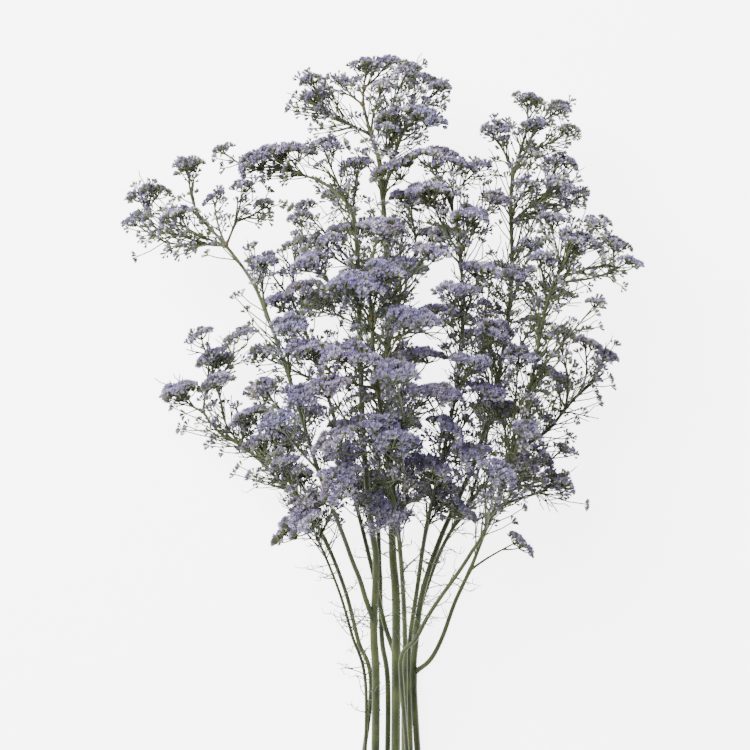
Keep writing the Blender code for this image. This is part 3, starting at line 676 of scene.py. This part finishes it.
# %% Stalks, arms and branches
def smooth_line(points, count):
    """A Catmull-Rom line: on each leg a cubic that leaves along the chord of its neighbours."""
    points = np.asarray(points)
    padded = np.vstack([2 * points[0] - points[1], points, 2 * points[-1] - points[-2]])
    at = np.linspace(0, len(points) - 1, count)
    leg = np.minimum(at.astype(int), len(points) - 2)
    t = (at - leg)[:, None]
    a, b, c, d = (padded[leg + i] for i in range(4))
    return 0.5 * (2 * b + (c - a) * t + (2 * a - 5 * b + 4 * c - d) * t ** 2
                  + (3 * b - a - 3 * c + d) * t ** 3)


WAVE_SHARE = 0.6


def wander(lines, size, rng):
    """A slight bend for each line: a sine bow and a full sine wave, both nothing at its ends."""
    rings = lines.shape[1]
    bow = np.sin(np.linspace(0, math.pi, rings))[None, :, None]
    wave = np.sin(np.linspace(0, 2 * math.pi, rings))[None, :, None]
    far = np.linalg.norm(lines[:, -1] - lines[:, 0], axis=1)[:, None, None]
    return (lines + bow * far * size * rng.normal(0, 1, (len(lines), 1, 3))
            + wave * far * size * WAVE_SHARE * rng.normal(0, 1, (len(lines), 1, 3)))


RINGS = {"stalk": 90, "arm": 42, "branch": 14}
SIDES = {"stalk": 12, "arm": 8, "branch": 7}
BRANCH_THICK = (0.0011, 0.0006)
JOINT_SWELL, JOINT_REACH = 0.22, 0.004
TINT_STEP = 0.37


def stalk_parts(stem):
    """One stem's stalk, arms and branches: smooth tapered tubes, swollen where others leave."""
    parts = []
    starts = np.array([line[0] for kind, line, radii in stem["tubes"][1:]])
    for i, (kind, line, radii) in enumerate(stem["tubes"]):
        rings = RINGS[kind]
        fine = smooth_line(line, rings)
        thick = np.interp(np.linspace(0, 1, rings), np.linspace(0, 1, len(radii)), radii)
        if kind == "branch":
            thick = np.linspace(*BRANCH_THICK, rings)
        gap = np.linalg.norm(fine[:, None] - starts[None], axis=2).min(axis=1)
        thick = thick * (1 + JOINT_SWELL * np.exp(-(gap / JOINT_REACH) ** 2))
        parts.append(tubes(fine[None], thick[None], SIDES[kind], [(i * TINT_STEP) % 1]))
    return parts


print("stalks, arms and branches:", {name: len(stem["tubes"]) for name, stem in bunch.items()})

# %% [markdown]
# Each tuft of the plan stands for a cluster of small fans on the plant. One fan sits at each
# of the tuft's floret tips, one in its middle and, in a broad tuft, one between each two tips.
# A thread-thin twig runs out to each. One stem's twigs are made in one go, as rows of an array.

# %% Fans and their twigs
FAN_OUT, FAN_MIDDLE, FAN_BETWEEN, BETWEEN_RISE = 0.6, 0.5, 0.42, 0.16
OUTER_WAY, BETWEEN_WAY = (0.62, 0.5), (0.25, 0.8)
BROAD_TUFT = 0.015
FAN_STRAYS, WAY_STRAYS = 0.001, 0.18


def fans_of(stem, rng):
    """The fans of one stem as roots, directions, sizes and feet, from each tuft's tips and core."""
    found = []
    for tuft in stem["tufts"]:
        points = crown_points(tuft)
        core, ends = points[FLORETS], points[FLORETS + 1:]
        reach = ends - tuft["root"]
        out = units(reach)
        fans = [(tuft["root"] + FAN_OUT * reach, out * OUTER_WAY[0] + tuft["axis"] * OUTER_WAY[1]),
                ((tuft["root"] + FAN_MIDDLE * (core - tuft["root"]))[None], tuft["axis"][None])]
        if tuft["radius"] > BROAD_TUFT:
            between = (reach + np.roll(reach, 1, axis=0)) / 2
            rise = BETWEEN_RISE * tuft["radius"] * tuft["axis"]
            fans.append((tuft["root"] + FAN_BETWEEN * between + rise,
                         out * BETWEEN_WAY[0] + tuft["axis"] * BETWEEN_WAY[1]))
        for root, way in fans:
            found.append((root, way, np.full(len(root), tuft["radius"]),
                          np.broadcast_to(tuft["root"], root.shape)))
    roots, ways, sizes, feet = (np.concatenate(each) for each in zip(*found))
    roots = roots + rng.normal(0, FAN_STRAYS, roots.shape)
    ways = units(ways + rng.normal(0, WAY_STRAYS, ways.shape))
    return roots, ways, sizes, feet


SIDE_SHARES = (0.22, 0.31, 0.4, 0.49, 0.58, 0.66, 0.74, 0.82, 0.9)
SIDE_LENGTH = (0.007, 0.019)
SPRIGS, SPRIG_FROM = {"stalk": 84, "arm": 28}, {"stalk": 0.5, "arm": 0.25}
SPRIG_TO, SPRIG_LENGTH = 0.97, (0.012, 0.04)
SHARE_STRAYS, ON_EACH_SIDE, SIDE_RINGS = 0.02, 0.05, 40
SPRIG_AHEAD, SPRIG_ACROSS, TURNS_AHEAD = 0.9, (0.35, 0.9), 0.5
SMALL_FAN, BARE_BELOW = 0.012, 528
LOWEST_SPRIG = (PHOTO_MIDDLE - BARE_BELOW) * PIXEL
INSIDE, OFF_TABLE = 0.005, 0.007


def within(stem, points):
    """Which points lie inside the box of the stem's tufts, above the bare stalks, off the table."""
    crowns = tufts_points(stem)
    low, high = crowns.min(axis=0) + INSIDE, crowns.max(axis=0) - INSIDE
    fits = (points < high).all(axis=1) & (points[:, 0] > low[0])
    return fits & (points[:, 1] > LOWEST_SPRIG) & (points[:, 2] > OFF_TABLE)


def way_along(line, share, near):
    """The direction of a line at a share of its length, from a point before to one after."""
    return unit(along(line, share + near) - along(line, share - near))


def side_fans_of(stem, rng):
    """Small fans on short twigs beside the branches and the upper stalk, below the sprays."""
    found = []
    for kind, line, radii in stem["tubes"]:
        fine = smooth_line(line, SIDE_RINGS)
        shares, reach = SIDE_SHARES, SIDE_LENGTH
        if kind != "branch":
            shares, reach = np.linspace(SPRIG_FROM[kind], SPRIG_TO, SPRIGS[kind]), SPRIG_LENGTH
        for share in shares:
            share = share + rng.uniform(-SHARE_STRAYS, SHARE_STRAYS)
            found.append((along(fine, share), way_along(fine, share, ON_EACH_SIDE),
                          rng.uniform(*reach)))
    feet, aheads, far = (np.array(each) for each in zip(*found))
    across = units(np.cross(aheads, rng.normal(0, 1, aheads.shape)))
    outward = rng.uniform(*SPRIG_ACROSS, (len(aheads), 1))
    ways = units(SPRIG_AHEAD * aheads + outward * across)
    roots = feet + ways * far[:, None]
    keep = within(stem, roots)
    ways = units(ways + TURNS_AHEAD * aheads)
    return roots[keep], ways[keep], np.full(keep.sum(), SMALL_FAN), feet[keep]


BOW = 0.4


def curved(starts, ends, leave, arrive, rings):
    """Cubic lines from start to end, leaving and arriving along the directions given."""
    t = np.linspace(0, 1, rings)[None, :, None]
    far = np.linalg.norm(ends - starts, axis=1)[:, None]
    a, b = starts + leave * far * BOW, ends - arrive * far * BOW
    return cubic(t, starts[:, None], a[:, None], b[:, None], ends[:, None])


def threads(lines, thick, sides, tints, rng):
    """Tubes that thin evenly from one radius to another, each with a tint drawn from a range."""
    radii = np.broadcast_to(np.linspace(*thick, lines.shape[1]), lines.shape[:2])
    return tubes(lines, radii, sides, rng.uniform(*tints, len(lines)))


TWIG_RINGS, TWIG_THICK, TWIG_BEND = 8, (0.00075, 0.0005), 0.012
THREAD_RINGS, THREAD_THICK, INTO_FAN = 4, (0.00052, 0.00042), 0.001
ANY_TINT, GREEN_TINTS, MIDDLE_TINTS = (0, 1), (0, 0.8), (0.2, 0.8)


def twig_parts(stem, fans, rng):
    """The twigs out to each tuft and the threads out to each fan."""
    starts, ends, arrive = (np.array([twig[i] for twig in stem["twigs"]]) for i in (0, 1, 3))
    lines = curved(starts, ends, units(ends - starts), arrive, TWIG_RINGS)
    twigs = threads(wander(lines, TWIG_BEND, rng), TWIG_THICK, 6, ANY_TINT, rng)
    return [twigs] + thread_parts(fans, rng)


def thread_parts(fans, rng):
    """A thread-thin twig from each fan's foot to its root."""
    roots, ways, sizes, feet = fans
    lines = curved(feet, roots + ways * INTO_FAN, units(roots - feet), ways, THREAD_RINGS)
    return [threads(lines, THREAD_THICK, 4, GREEN_TINTS, rng)]


print("twigs to tufts:", sum(len(stem["twigs"]) for stem in bunch.values()))

# %% [markdown]
# Two small things keep a real stalk from looking like wire. Where a branch leaves there is a
# brown papery scale, wrapped round its foot. And along the stalks grow bare, curly twiglets
# that never flowered. Scales are short tapering tubes, twiglets are curved threads that fork.

# %% Scales and bare twiglets
SCALE_LENGTH, SCALE_RADIUS, SCALE_TIP = 0.005, 0.0018, 0.0002
SCALE_RINGS, SCALE_TAPER, SCALE_STRAYS = 5, 0.6, 0.12


def scale_parts(stem, rng):
    """A brown scale at the foot of each branch: a short tube that narrows to a point."""
    starts, after = (np.array([line[i] for kind, line, radii in stem["tubes"][1:]]) for i in (0, 1))
    ways = units(after - starts)
    ways = units(ways + rng.normal(0, SCALE_STRAYS, ways.shape))
    t = np.linspace(0, 1, SCALE_RINGS)
    lines = starts[:, None] + ways[:, None] * (t[None, :, None] * SCALE_LENGTH)
    thick = SCALE_RADIUS * (1 - t) ** SCALE_TAPER + SCALE_TIP
    return [tubes(lines, np.broadcast_to(thick, lines.shape[:2]), 6, np.ones(len(lines)))]


TWIGLETS, TWIGLET_SHARES, TWIGLET_LENGTH = 26, (0.32, 0.92), (0.01, 0.03)
TWIGLET_RINGS, TWIGLET_THICK, TWIGLET_BEND = 8, (0.0005, 0.00022), 0.1
SIDE_THICK, SIDE_BEND, STALK_LOOK = (0.00032, 0.00018), 0.12, 120
AHEAD_BY, TWIGLET_AHEAD, CURLS_BACK, SIDE_SPREAD = 0.03, 0.7, 0.6, 0.9
FORK_SHARE, LOWEST_TWIGLET, LOWEST_FORK = 0.45, 0.004, 0.003


def twiglet_parts(stem, rng):
    """Bare curly threads on the stalk, each with two side threads of about half its length."""
    fine = smooth_line(stem["tubes"][0][1], STALK_LOOK)
    at = rng.uniform(*TWIGLET_SHARES, TWIGLETS)
    feet = np.array([along(fine, share) for share in at])
    ahead = units(np.array([along(fine, share + AHEAD_BY) for share in at]) - feet)
    out = units(np.cross(ahead, rng.normal(0, 1, ahead.shape)))
    far = rng.uniform(*TWIGLET_LENGTH, TWIGLETS)[:, None]
    ends = feet + far * units(TWIGLET_AHEAD * ahead + out)
    ends[:, 2] = np.maximum(ends[:, 2], LOWEST_TWIGLET)
    main = curved(feet, ends, units(ahead + out), units(ahead - CURLS_BACK * out),
                  TWIGLET_RINGS)
    main = wander(main, TWIGLET_BEND, rng)
    parts = [threads(main, TWIGLET_THICK, 5, MIDDLE_TINTS, rng)]
    for ring, turn in ((3, 1.0), (5, -1.0)):
        start = main[:, ring]
        way = units(main[:, ring + 1] - start)
        aside = units(np.cross(way, ahead + 0.1)) * turn
        end = start + far * FORK_SHARE * units(way + SIDE_SPREAD * aside)
        end[:, 2] = np.maximum(end[:, 2], LOWEST_FORK)
        lines = wander(curved(start, end, units(way + aside), way, 5), SIDE_BEND, rng)
        parts.append(threads(lines, SIDE_THICK, 4, MIDDLE_TINTS, rng))
    return parts


print("scales:", sum(len(stem["tubes"]) - 1 for stem in bunch.values()))
print("twiglets:", TWIGLETS * len(bunch))

# %% [markdown]
# Deep in the bunch much of what fills the gaps between tufts is bare green twigs that fork.
# They leave stalks and branches alike and stay inside the stem's own crown.

# %% Bare twigs among the flowers
BARE_TWIGS, BARE_LENGTH, ON_STALK = 72, (0.02, 0.042), 0.4
BARE_SHARES = {"stalk": (0.55, 0.88), "arm": (0.05, 0.6), "branch": (0.05, 0.6)}
BARE_NEAR, BARE_ACROSS, BARE_BEND = 0.04, (0.4, 1.0), 0.03
FORK_SPREAD, FORK_LEAVES = 0.7, 0.5
BARE_THICK, FORK_THICK = (0.00062, 0.0004), (0.00046, 0.00032)


def bare_parts(stem, rng):
    """Bare green twigs, each with two forks: cubic threads that bend away as they leave."""
    found = []
    for _ in range(BARE_TWIGS):
        on_stalk = rng.uniform() < ON_STALK
        kind, line, radii = stem["tubes"][0 if on_stalk else rng.integers(len(stem["tubes"]))]
        share = rng.uniform(*BARE_SHARES[kind])
        found.append((along(line, share), way_along(line, share, BARE_NEAR)))
    feet, aheads = (np.array(each) for each in zip(*found))
    far = rng.uniform(*BARE_LENGTH, BARE_TWIGS)[:, None]
    across = units(np.cross(aheads, rng.normal(0, 1, aheads.shape)))
    ends = feet + far * units(aheads + rng.uniform(*BARE_ACROSS, (BARE_TWIGS, 1)) * across)
    keep = within(stem, ends)
    feet, aheads, far, across, ends = (each[keep] for each in (feet, aheads, far, across, ends))
    main = wander(curved(feet, ends, aheads, units(aheads + across), 5), BARE_BEND, rng)
    parts = [threads(main, BARE_THICK, 4, GREEN_TINTS, rng)]
    for ring, turn in ((2, 1.0), (3, -1.0)):
        start = main[:, ring]
        way = units(main[:, ring + 1] - start)
        end = start + FORK_SHARE * far * units(way + FORK_SPREAD * turn * across)
        lines = curved(start, end, units(way + FORK_LEAVES * turn * across), way, 4)
        lines[..., 2] = np.maximum(lines[..., 2], LOWEST_FORK)
        parts.append(threads(lines, FORK_THICK, 4, GREEN_TINTS, rng))
    return parts


print("bare twigs tried:", BARE_TWIGS * len(bunch))

# %% [markdown]
# A statice floret is a papery trumpet: a narrow greenish tube that opens to a pointed,
# lavender rim. One small template is worked out, a pointed foot and a rim of four points,
# and it is copied to every place by one array product. The share of its length is kept with
# each point, so that the colour can run from green at the foot to violet at the rim.

# %% One floret
PETALS = 4
RIM_TIP, RIM_NOTCH, NOTCH_HEIGHT, MOUTH_HEIGHT = 0.29, 0.14, 0.84, 0.66


def floret_template():
    """A trumpet of unit length: a pointed foot, a rim of points and notches, and a sunken mouth."""
    corners = 2 * PETALS
    turn = np.arange(corners) * math.pi / PETALS
    tip = np.arange(corners) % 2 == 0
    out, rise = np.where(tip, RIM_TIP, RIM_NOTCH), np.where(tip, 1.0, NOTCH_HEIGHT)
    rim = np.stack([np.cos(turn) * out, np.sin(turn) * out, rise], -1)
    points = np.vstack([[[0, 0, 0]], rim, [[0, 0, MOUTH_HEIGHT]]])
    here, after = 1 + np.arange(corners), 1 + (np.arange(corners) + 1) % corners
    foot, mouth = np.zeros(corners, int), np.full(corners, corners + 1)
    faces = np.vstack([np.stack([foot, after, here], -1), np.stack([mouth, here, after], -1)])
    return points, faces, points[:, 2]


FLORET, FLORET_FACES, FLORET_SHARE = floret_template()
print("one floret:", len(FLORET_FACES), "triangles")


def placed_florets(roots, ways, lengths, widths, tint, rng):
    """The template at every root, along every way: root + x side + y other + z way."""
    side, other = across_of(ways)
    spin = rng.uniform(0, 2 * math.pi, len(roots))[:, None]
    turned = np.cos(spin) * side + np.sin(spin) * other
    other = np.cross(ways, turned)
    x, y, z = (FLORET[:, i][None, :, None] for i in range(3))
    points = (roots[:, None] + (x * turned[:, None] + y * other[:, None]) * widths[:, None, None]
              + z * ways[:, None] * lengths[:, None, None])
    return copies(points, FLORET_FACES, tint, FLORET_SHARE)


# %% [markdown]
# A fan carries seven or fourteen florets with their feet close together, spread over a cap
# like the ribs of a shuttlecock. The golden angle sets them out again: floret number k stands
# at an angle of k times 137.5 degrees, and tilts out by the square root of its share of the cap.

# %% Florets on their fans
PER_FAN, PER_SIDE_FAN = 14, 7
CAP_TILT, TILT_VARIES, FIRST_SHARE = 0.98, (0.8, 1.15), 0.3
FULL_TURN, TURN_STRAYS = 6.28, 0.25
FEET_APART, FEET_FORWARD, LOWEST_TIP = 0.002, 0.0002, 0.0008
FLORET_LENGTH, SIZE_POWER = 0.0058, 0.4
LENGTH_VARIES, WIDTH_VARIES = (0.82, 1.15), (0.85, 1.1)
FAN_TINTS, OWN_TINTS = (0, 0.35), (0, 0.65)
# Painted shade and light on the florets' tint: darker and greener low in the bunch and near its middle,
# lighter high up and towards its edges.
SHADED_DEEP_TINT, LIT_HIGH_TINT, LIT_EDGE_TINT, SHADE_FADES_OVER = 0.45, 0.3, 0.38, 0.16
SHADE_HEART = place(390, 400, 0)


def floret_parts(fans, count, rng):
    """Florets on a cap round each fan: tilt by the root of their share, turn by the golden angle."""
    roots, ways, sizes, feet = fans
    side, other = across_of(ways)
    number = np.arange(count)
    each = (len(roots), 1)
    cap = CAP_TILT * np.sqrt((number + FIRST_SHARE) / count)
    tilt = cap * rng.uniform(*TILT_VARIES, each)
    turn = number * GOLDEN_ANGLE + rng.uniform(0, FULL_TURN, each)
    turn = turn + rng.normal(0, TURN_STRAYS, turn.shape)
    out = np.cos(turn)[..., None] * side[:, None] + np.sin(turn)[..., None] * other[:, None]
    way = np.cos(tilt)[..., None] * ways[:, None] + np.sin(tilt)[..., None] * out
    base = roots[:, None] + out * np.sin(tilt)[..., None] * FEET_APART + way * FEET_FORWARD
    size = (sizes / TUFT_MOST)[:, None] ** SIZE_POWER
    length = FLORET_LENGTH * size * rng.uniform(*LENGTH_VARIES, tilt.shape)
    tint = rng.uniform(*FAN_TINTS, each) + rng.uniform(*OWN_TINTS, tilt.shape)
    # Painted shade and light: a floret's tint is cut low down and near the bunch's middle, and kept or
    # raised high up and towards its edges.
    lit_by_height = np.clip(base[..., 2] / SHADE_FADES_OVER, 0, 1)
    aside = np.clip(np.linalg.norm((base - SHADE_HEART)[..., :2], axis=-1) / SHADE_FADES_OVER, 0, 1)
    tint = tint * (SHADED_DEEP_TINT + LIT_HIGH_TINT * lit_by_height + LIT_EDGE_TINT * aside)
    width = length * rng.uniform(*WIDTH_VARIES, length.shape)
    above = np.minimum(base[..., 2], (base + way * length[..., None])[..., 2]) > LOWEST_TIP
    return [placed_florets(*(each[above] for each in (base, way, length, width, tint)), rng)]


print("florets on a fan:", PER_FAN, "on a side fan:", PER_SIDE_FAN)

# %% [markdown]
# The colours. A dried stalk is olive green, browner at its joints and duller along its length,
# with fine ridges. The florets are lavender blue at the rim, greenish cream at the foot, and
# no two quite alike; their tint also carries painted shade, darker low and in the middle of the
# bunch and lighter high up and at its edges. Both materials read the UV map made above: tint
# across, share up.

# %% Materials
def new_material(name):
    """A material, its node tree and its shader."""
    material = bpy.data.materials.new(name)
    material.use_nodes = True
    return material, material.node_tree, material.node_tree.nodes["Principled BSDF"]


def fed(tree, node, inputs):
    """Inputs linked to another node's output, or filled with a value."""
    for key, value in inputs.items():
        if isinstance(value, bpy.types.NodeSocket):
            tree.links.new(value, node.inputs[key])
        else:
            node.inputs[key].default_value = value
    return node.outputs


def added_node(tree, kind, inputs, **settings):
    """The outputs of a new shader node."""
    node = tree.nodes.new("ShaderNode" + kind)
    for key, value in settings.items():
        setattr(node, key, value)
    return fed(tree, node, inputs)


def ramp(tree, source, *stops):
    """A colour blended between stops, each a value and a grey or three numbers."""
    node = tree.nodes.new("ShaderNodeValToRGB")
    elements = node.color_ramp.elements
    while len(elements) < len(stops):
        elements.new(0.5)
    for element, (at, *colour) in zip(elements, stops):
        element.position = at
        element.color = (*(colour if len(colour) == 3 else colour * 3), 1)
    return fed(tree, node, {"Fac": source})["Color"]


def mixed(tree, share, first, second, kind="MIX"):
    """Two colours mixed by a share."""
    first, second = ((*each, 1) if isinstance(each, tuple) else each for each in (first, second))
    inputs = {0: share, 6: first, 7: second}
    return added_node(tree, "Mix", inputs, data_type="RGBA", blend_type=kind)[2]


def look_of(tree):
    """The UV map's tint and share of length."""
    uv = added_node(tree, "UVMap", {}, uv_map="look")["UV"]
    parts = added_node(tree, "SeparateXYZ", {"Vector": uv})
    return parts["X"], parts["Y"]


def noise(tree, scale, detail=3.0, stretch=None):
    """Cloudy noise, stretched along an axis if asked."""
    where = added_node(tree, "TexCoord", {})["Object"]
    if stretch:
        where = added_node(tree, "Mapping", {"Scale": stretch, "Vector": where})["Vector"]
    inputs = {"Scale": scale, "Detail": detail, "Vector": where}
    return added_node(tree, "TexNoise", inputs)["Fac"]


def bump(tree, height, strength, distance):
    """A normal that follows a height."""
    inputs = {"Strength": strength, "Distance": distance, "Height": height}
    return added_node(tree, "Bump", inputs)["Normal"]


def stalk_material():
    """Blotched olive, dulled along fine ridges, and papery brown for the scales."""
    material, tree, shader = new_material("olive_stalk")
    blotch, ridge = noise(tree, 60.0), noise(tree, 900.0, 2.0, (1.0, 0.06, 1.0))
    green = ramp(tree, blotch, (0.3, 0.023, 0.034, 0.009), (0.5, 0.048, 0.065, 0.018),
                 (0.68, 0.082, 0.094, 0.03), (0.8, 0.07, 0.05, 0.021))
    dull = ramp(tree, ridge, (0.35, 0.62, 0.62, 0.6), (0.65, 1.0))
    papery = ramp(tree, look_of(tree)[0], (0.88, 0), (0.98, 1))
    green = mixed(tree, 0.55, green, dull, "MULTIPLY")
    fed(tree, shader, {"Base Color": mixed(tree, papery, green, (0.085, 0.064, 0.03)),
                       "Roughness": ramp(tree, blotch, (0.3, 0.55), (0.7, 0.8)),
                       "Normal": bump(tree, ridge, 0.5, 0.0003)})
    return material


def floret_material():
    """Violet by tint, which carries painted shade, faded and aged in patches, on a greenish foot."""
    material, tree, shader = new_material("lavender_floret")
    tint, share = look_of(tree)
    drift = noise(tree, 22.0)
    # With the tint from floret_parts, the dark greenish low end falls deep in the bunch as painted
    # shade, the pale high end on its top and edges as painted light.
    violet = ramp(tree, tint, (0.04, 0.085, 0.088, 0.045), (0.16, 0.08, 0.06, 0.16),
                  (0.4, 0.17, 0.14, 0.3), (0.7, 0.33, 0.29, 0.48),
                  (0.95, 0.7, 0.67, 0.79))
    faded = ramp(tree, drift, (0.38, 0.78, 0.8, 0.92), (0.62, 1.12, 1.06, 1.00))
    violet = mixed(tree, 0.9, violet, faded, "MULTIPLY")
    aged = ramp(tree, noise(tree, 34.0), (0.54, 0), (0.7, 0.6))
    violet = mixed(tree, aged, violet, (0.165, 0.135, 0.12))
    foot = mixed(tree, tint, (0.03, 0.042, 0.013), (0.19, 0.2, 0.085))
    where = ramp(tree, share, (0.63, 0), (0.86, 1))
    fed(tree, shader, {"Base Color": mixed(tree, where, foot, violet),
                       "Roughness": ramp(tree, drift, (0.3, 0.72), (0.7, 0.92)),
                       "Sheen Weight": 0.15,
                       "Normal": bump(tree, noise(tree, 1400.0, 2.0), 0.35, 0.0002)})
    return material


stalk_finish = stalk_material()
floret_finish = floret_material()
print("materials:", stalk_finish.name, floret_finish.name)

# %% [markdown]
# Now the pieces are made, two for each stem: one for everything green, and one for its
# florets. Both stand for the same solid, which is hidden and kept for collision only.

# %% Make the pieces
made = []
for number, (name, stem) in enumerate(bunch.items()):
    rng = np.random.default_rng([SEED, 100 + number])
    fans = fans_of(stem, rng)
    side_fans = side_fans_of(stem, rng)
    green = mesh_piece(name + "_stalks", stalk_parts(stem) + twig_parts(stem, fans, rng)
                       + thread_parts(side_fans, rng) + scale_parts(stem, rng)
                       + twiglet_parts(stem, rng) + bare_parts(stem, rng))
    green.data.materials.append(stalk_finish)
    violet = mesh_piece(name + "_florets", floret_parts(fans, PER_FAN, rng)
                        + floret_parts(side_fans, PER_SIDE_FAN, rng), smooth_shaded=False)
    violet.data.materials.append(floret_finish)
    for piece in (green, violet):
        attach(piece, "root")
        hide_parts(name)
    made.append((len(green.data.polygons), len(violet.data.polygons)))
    print(name, "fans:", len(fans[0]), len(side_fans[0]), "triangles:", made[-1])
print("triangles in all:", np.sum(made))

# %% [markdown]
# The photograph has a pure white ground and even, soft light from above the lens. A large
# pale floor, a wide lamp over the bunch and a plain white sky give the same.

# %% Floor, light and camera
FLOOR_HALF, FLOOR_SHADE, FLOOR_ROUGH, FLOOR_GLOW = 15.0, 0.92, 0.9, 5.0
SKY_LIGHT = 0.5
LAMP_PLACE, LAMP_AIM, LAMP_SIZE, LAMP_WATTS = (-0.9, 0.9, 1.8), (0, 0.05, 0.1), 1.2, 105
SENSOR = 36
WHITE = (1, 1, 1, 1)

far = FLOOR_HALF
mesh = bpy.data.meshes.new("floor")
mesh.from_pydata([(-far, -far, 0), (far, -far, 0), (far, far, 0), (-far, far, 0)], [],
                 [(0, 1, 2, 3)])
material, tree, shader = new_material("pale_floor")
fed(tree, shader, {"Base Color": (*[FLOOR_SHADE] * 3, 1), "Roughness": FLOOR_ROUGH,
                   "Emission Color": WHITE, "Emission Strength": FLOOR_GLOW})
mesh.materials.append(material)
added("floor", mesh)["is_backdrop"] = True

world = bpy.data.worlds.new("plain_sky")
world.use_nodes = True
fed(world.node_tree, world.node_tree.nodes["Background"], {"Color": WHITE, "Strength": SKY_LIGHT})
bpy.context.scene.world = world

light = bpy.data.lights.new("wide_lamp", "AREA")
light.size = LAMP_SIZE
light.energy = LAMP_WATTS
lamp = added("wide_lamp", light)
lamp.location = LAMP_PLACE
aim = Vector(LAMP_AIM) - Vector(LAMP_PLACE)
lamp.rotation_euler = aim.to_track_quat("-Z", "Y").to_euler()

camera = added("camera", bpy.data.cameras.new("camera"))
bpy.context.scene.camera = camera
camera.data.sensor_width = SENSOR
camera.data.lens = SENSOR * VIEW_DISTANCE / (2 * PHOTO_MIDDLE * PIXEL)
camera.location = (SHIFT[0], SHIFT[1], PLANE_HEIGHT + VIEW_DISTANCE)
camera.rotation_euler = (0, 0, 0)
print("lens:", round(camera.data.lens, 1))
